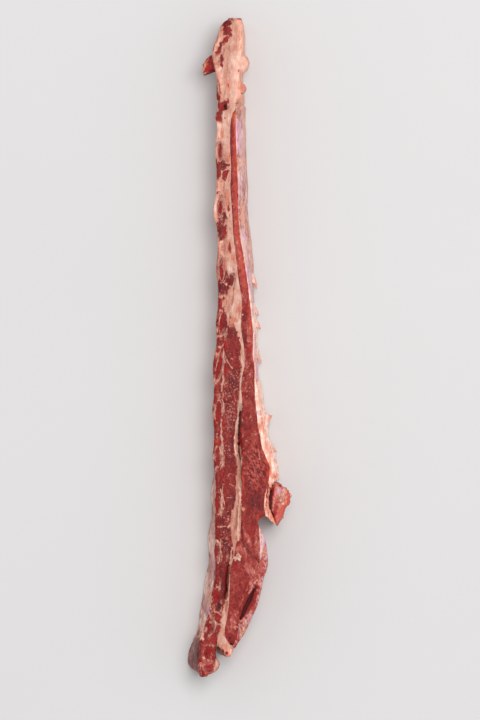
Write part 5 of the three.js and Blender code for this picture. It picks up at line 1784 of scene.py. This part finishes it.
class OBJECT_OT_short_ribs_crumb(ShortRibsOperator):
    """Builds the loose crumb of fat that lies on the lobe"""

    bl_idname = "object.short_ribs_crumb"
    bl_label = "Crumb"

    # Pixel right and down and radius of each ball that the crumb is joined from.
    petals = [(237.2, 557.4, 3.4), (239.3, 559.2, 2.6), (234.6, 557.8, 2.5), (237.8, 554.2, 2.6),
              (240.2, 556.6, 2.0), (235.4, 559.8, 1.8)]
    half_height = 1.9
    voxel = 0.42
    around, over = 10, 7  # corners of each ball

    def build(self, shape):
        points, faces = self.joined_petals()
        points[:, :2] += 0.8 * np.column_stack([noise(points, 2.2, 181), noise(points, 2.2, 182)])
        points[:, 2] += 0.5 * noise(points, 1.6, 183)
        surface = Surface(points, points[:, :2], shown=0.0)
        surface.fill(fat=1.0, tone=0.72, warm=0.48)
        surface.add(tone=0.3 * surface.noise(2.5, 184))
        # Painted shade: the crumb darkens towards its foot, where it lies on the lobe.
        surface.add(tone=-0.6 * ramp(points[:, 2], FRONT + 2.4, FRONT + 0.4))
        material = flesh("crumb_fat", rough=0.55)
        make_piece("fat_crumb_petals", points, faces, surface, material, "fat_crumb", "crumb_fat")

    def joined_petals(self):
        """The points and faces of all the balls, joined and smoothed."""
        points, faces = [], []
        for right, down, radius in self.petals:
            x, y = (right - PIXEL_OVER_ORIGIN[0]) * PIXEL, (PIXEL_OVER_ORIGIN[1] - down) * PIXEL
            middle = (x, y, FRONT + self.half_height)
            self.add_ball(points, faces, middle, (radius, radius, self.half_height))
        mesh = bpy.data.meshes.new("crumb_rough")
        mesh.from_pydata(points, [], faces)
        rough = add_object("crumb_rough", mesh)
        remesh = rough.modifiers.new("Joined", "REMESH")
        remesh.mode = "VOXEL"
        remesh.voxel_size = self.voxel
        rough.modifiers.new("Smooth", "SMOOTH").iterations = 4
        evaluated = rough.evaluated_get(bpy.context.evaluated_depsgraph_get())
        joined = bpy.data.meshes.new_from_object(evaluated)
        bpy.data.objects.remove(rough)
        return mesh_points(joined), [tuple(face.vertices) for face in joined.polygons]

    def add_ball(self, points, faces, middle, radii):
        """Adds the corners and faces of a flattened ball."""
        first = len(points)
        for ring in range(1, self.over):
            for step in range(self.around):
                a, b = math.pi * ring / self.over, 2 * math.pi * step / self.around
                way = (math.sin(a) * math.cos(b), math.sin(a) * math.sin(b), math.cos(a))
                points.append([m + r * w for m, r, w in zip(middle, radii, way)])
        for quad in tube_quads(self.over - 1, self.around).tolist():
            faces.append(tuple(first + corner for corner in quad))
        last = first + (self.over - 2) * self.around
        faces.append(tuple(range(first, first + self.around))[::-1])
        faces.append(tuple(range(last, last + self.around)))


class OBJECT_OT_short_ribs_stage(bpy.types.Operator):
    """Sets up the floor, the soft light and the camera that looks straight down"""

    bl_idname = "object.short_ribs_stage"
    bl_label = "Stage"
    bl_options = {"REGISTER", "UNDO"}

    floor_half = 6.0
    floor_shade = 0.985  # the darkest that the floor gets, as a share of its colour
    lamp_place, lamp_size = (0.9, 0.9, 4.9), 2.2

    def execute(self, context):
        stage = context.scene.short_ribs_stage
        context.scene.view_settings.view_transform = "Standard"
        self.add_floor(stage)
        self.add_light(context, stage)
        self.add_camera(context, stage)
        return {"FINISHED"}

    def add_floor(self, stage):
        half = self.floor_half
        mesh = bpy.data.meshes.new("floor")
        corners = [(-half, -half, 0), (half, -half, 0), (half, half, 0), (-half, half, 0)]
        mesh.from_pydata(corners, [], [(0, 1, 2, 3)])
        graph = Graph("floor")
        darker = tuple(self.floor_shade * part for part in stage.floor_colour[:3]) + (1.0,)
        blots = graph.step(graph.noise(300.0), 0.2, 0.8)
        shade = graph.mix(blots, stage.floor_colour, darker)
        shader = graph.node("ShaderNodeBsdfPrincipled", ("Base Color", shade), ("Roughness", 0.9),
                            ("Specular IOR Level", 0.1))
        graph.node("ShaderNodeOutputMaterial", ("Surface", shader))
        mesh.materials.append(graph.material)
        add_object("floor", mesh)

    def add_light(self, context, stage):
        world = bpy.data.worlds.new("studio")
        world.use_nodes = True
        background = world.node_tree.nodes["Background"]
        background.inputs["Color"].default_value = (1.0, 0.995, 0.99, 1.0)
        background.inputs["Strength"].default_value = stage.sky
        context.scene.world = world
        lamp = bpy.data.lights.new("key", "AREA")
        lamp.size = self.lamp_size
        lamp.energy = stage.key_power
        light = add_object("key", lamp)
        light.location = self.lamp_place
        towards = -Vector(self.lamp_place)
        light.rotation_euler = towards.to_track_quat("-Z", "Y").to_euler()

    def add_camera(self, context, stage):
        camera = bpy.data.cameras.new("camera")
        long_side = PHOTO_HEIGHT * PIXEL / METRE
        camera.lens = camera.sensor_width * stage.camera_height / long_side
        camera.clip_end = 100.0
        eye = add_object("camera", camera)
        right = (PHOTO_WIDTH / 2 - PIXEL_OVER_ORIGIN[0]) * PIXEL / METRE
        up = (PIXEL_OVER_ORIGIN[1] - PHOTO_HEIGHT / 2) * PIXEL / METRE
        eye.location = (right, up, FRONT / METRE + stage.camera_height)
        context.scene.camera = eye


# ---- Add-on ----------------------------------------------------------------------------------

PIECE_OPERATORS = (
    OBJECT_OT_short_ribs_rib_layer,
    OBJECT_OT_short_ribs_ribs,
    OBJECT_OT_short_ribs_inner_fat,
    OBJECT_OT_short_ribs_inner_muscle,
    OBJECT_OT_short_ribs_outer_muscle,
    OBJECT_OT_short_ribs_fascia,
    OBJECT_OT_short_ribs_cover_fat,
    OBJECT_OT_short_ribs_lobe,
    OBJECT_OT_short_ribs_flap,
    OBJECT_OT_short_ribs_lump,
    OBJECT_OT_short_ribs_crumb,
    OBJECT_OT_short_ribs_stage,
)


class VIEW3D_PT_short_ribs(bpy.types.Panel):
    """Lists the pieces of the strip and the values that they are built from"""

    bl_label = "Short Ribs"
    bl_idname = "VIEW3D_PT_short_ribs"
    bl_space_type = "VIEW_3D"
    bl_region_type = "UI"
    bl_category = "Short Ribs"

    def draw(self, context):
        for group in (context.scene.short_ribs_shape, context.scene.short_ribs_stage):
            for name in group.__annotations__:
                self.layout.prop(group, name)
        for operator in PIECE_OPERATORS:
            self.layout.operator(operator.bl_idname)


CLASSES = (ShortRibsShape, ShortRibsStage, *PIECE_OPERATORS, VIEW3D_PT_short_ribs)


def register():
    for each in CLASSES:
        bpy.utils.register_class(each)
    bpy.types.Scene.short_ribs_shape = bpy.props.PointerProperty(type=ShortRibsShape)
    bpy.types.Scene.short_ribs_stage = bpy.props.PointerProperty(type=ShortRibsStage)


def unregister():
    del bpy.types.Scene.short_ribs_stage
    del bpy.types.Scene.short_ribs_shape
    for each in reversed(CLASSES):
        bpy.utils.unregister_class(each)


def main():
    """Registers the add-on and builds everything, in metres."""
    register()
    for operator in PIECE_OPERATORS:
        group, name = operator.bl_idname.split(".")
        getattr(getattr(bpy.ops, group), name)()
    bpy.context.view_layer.update()


if __name__ == "__main__":
    main()
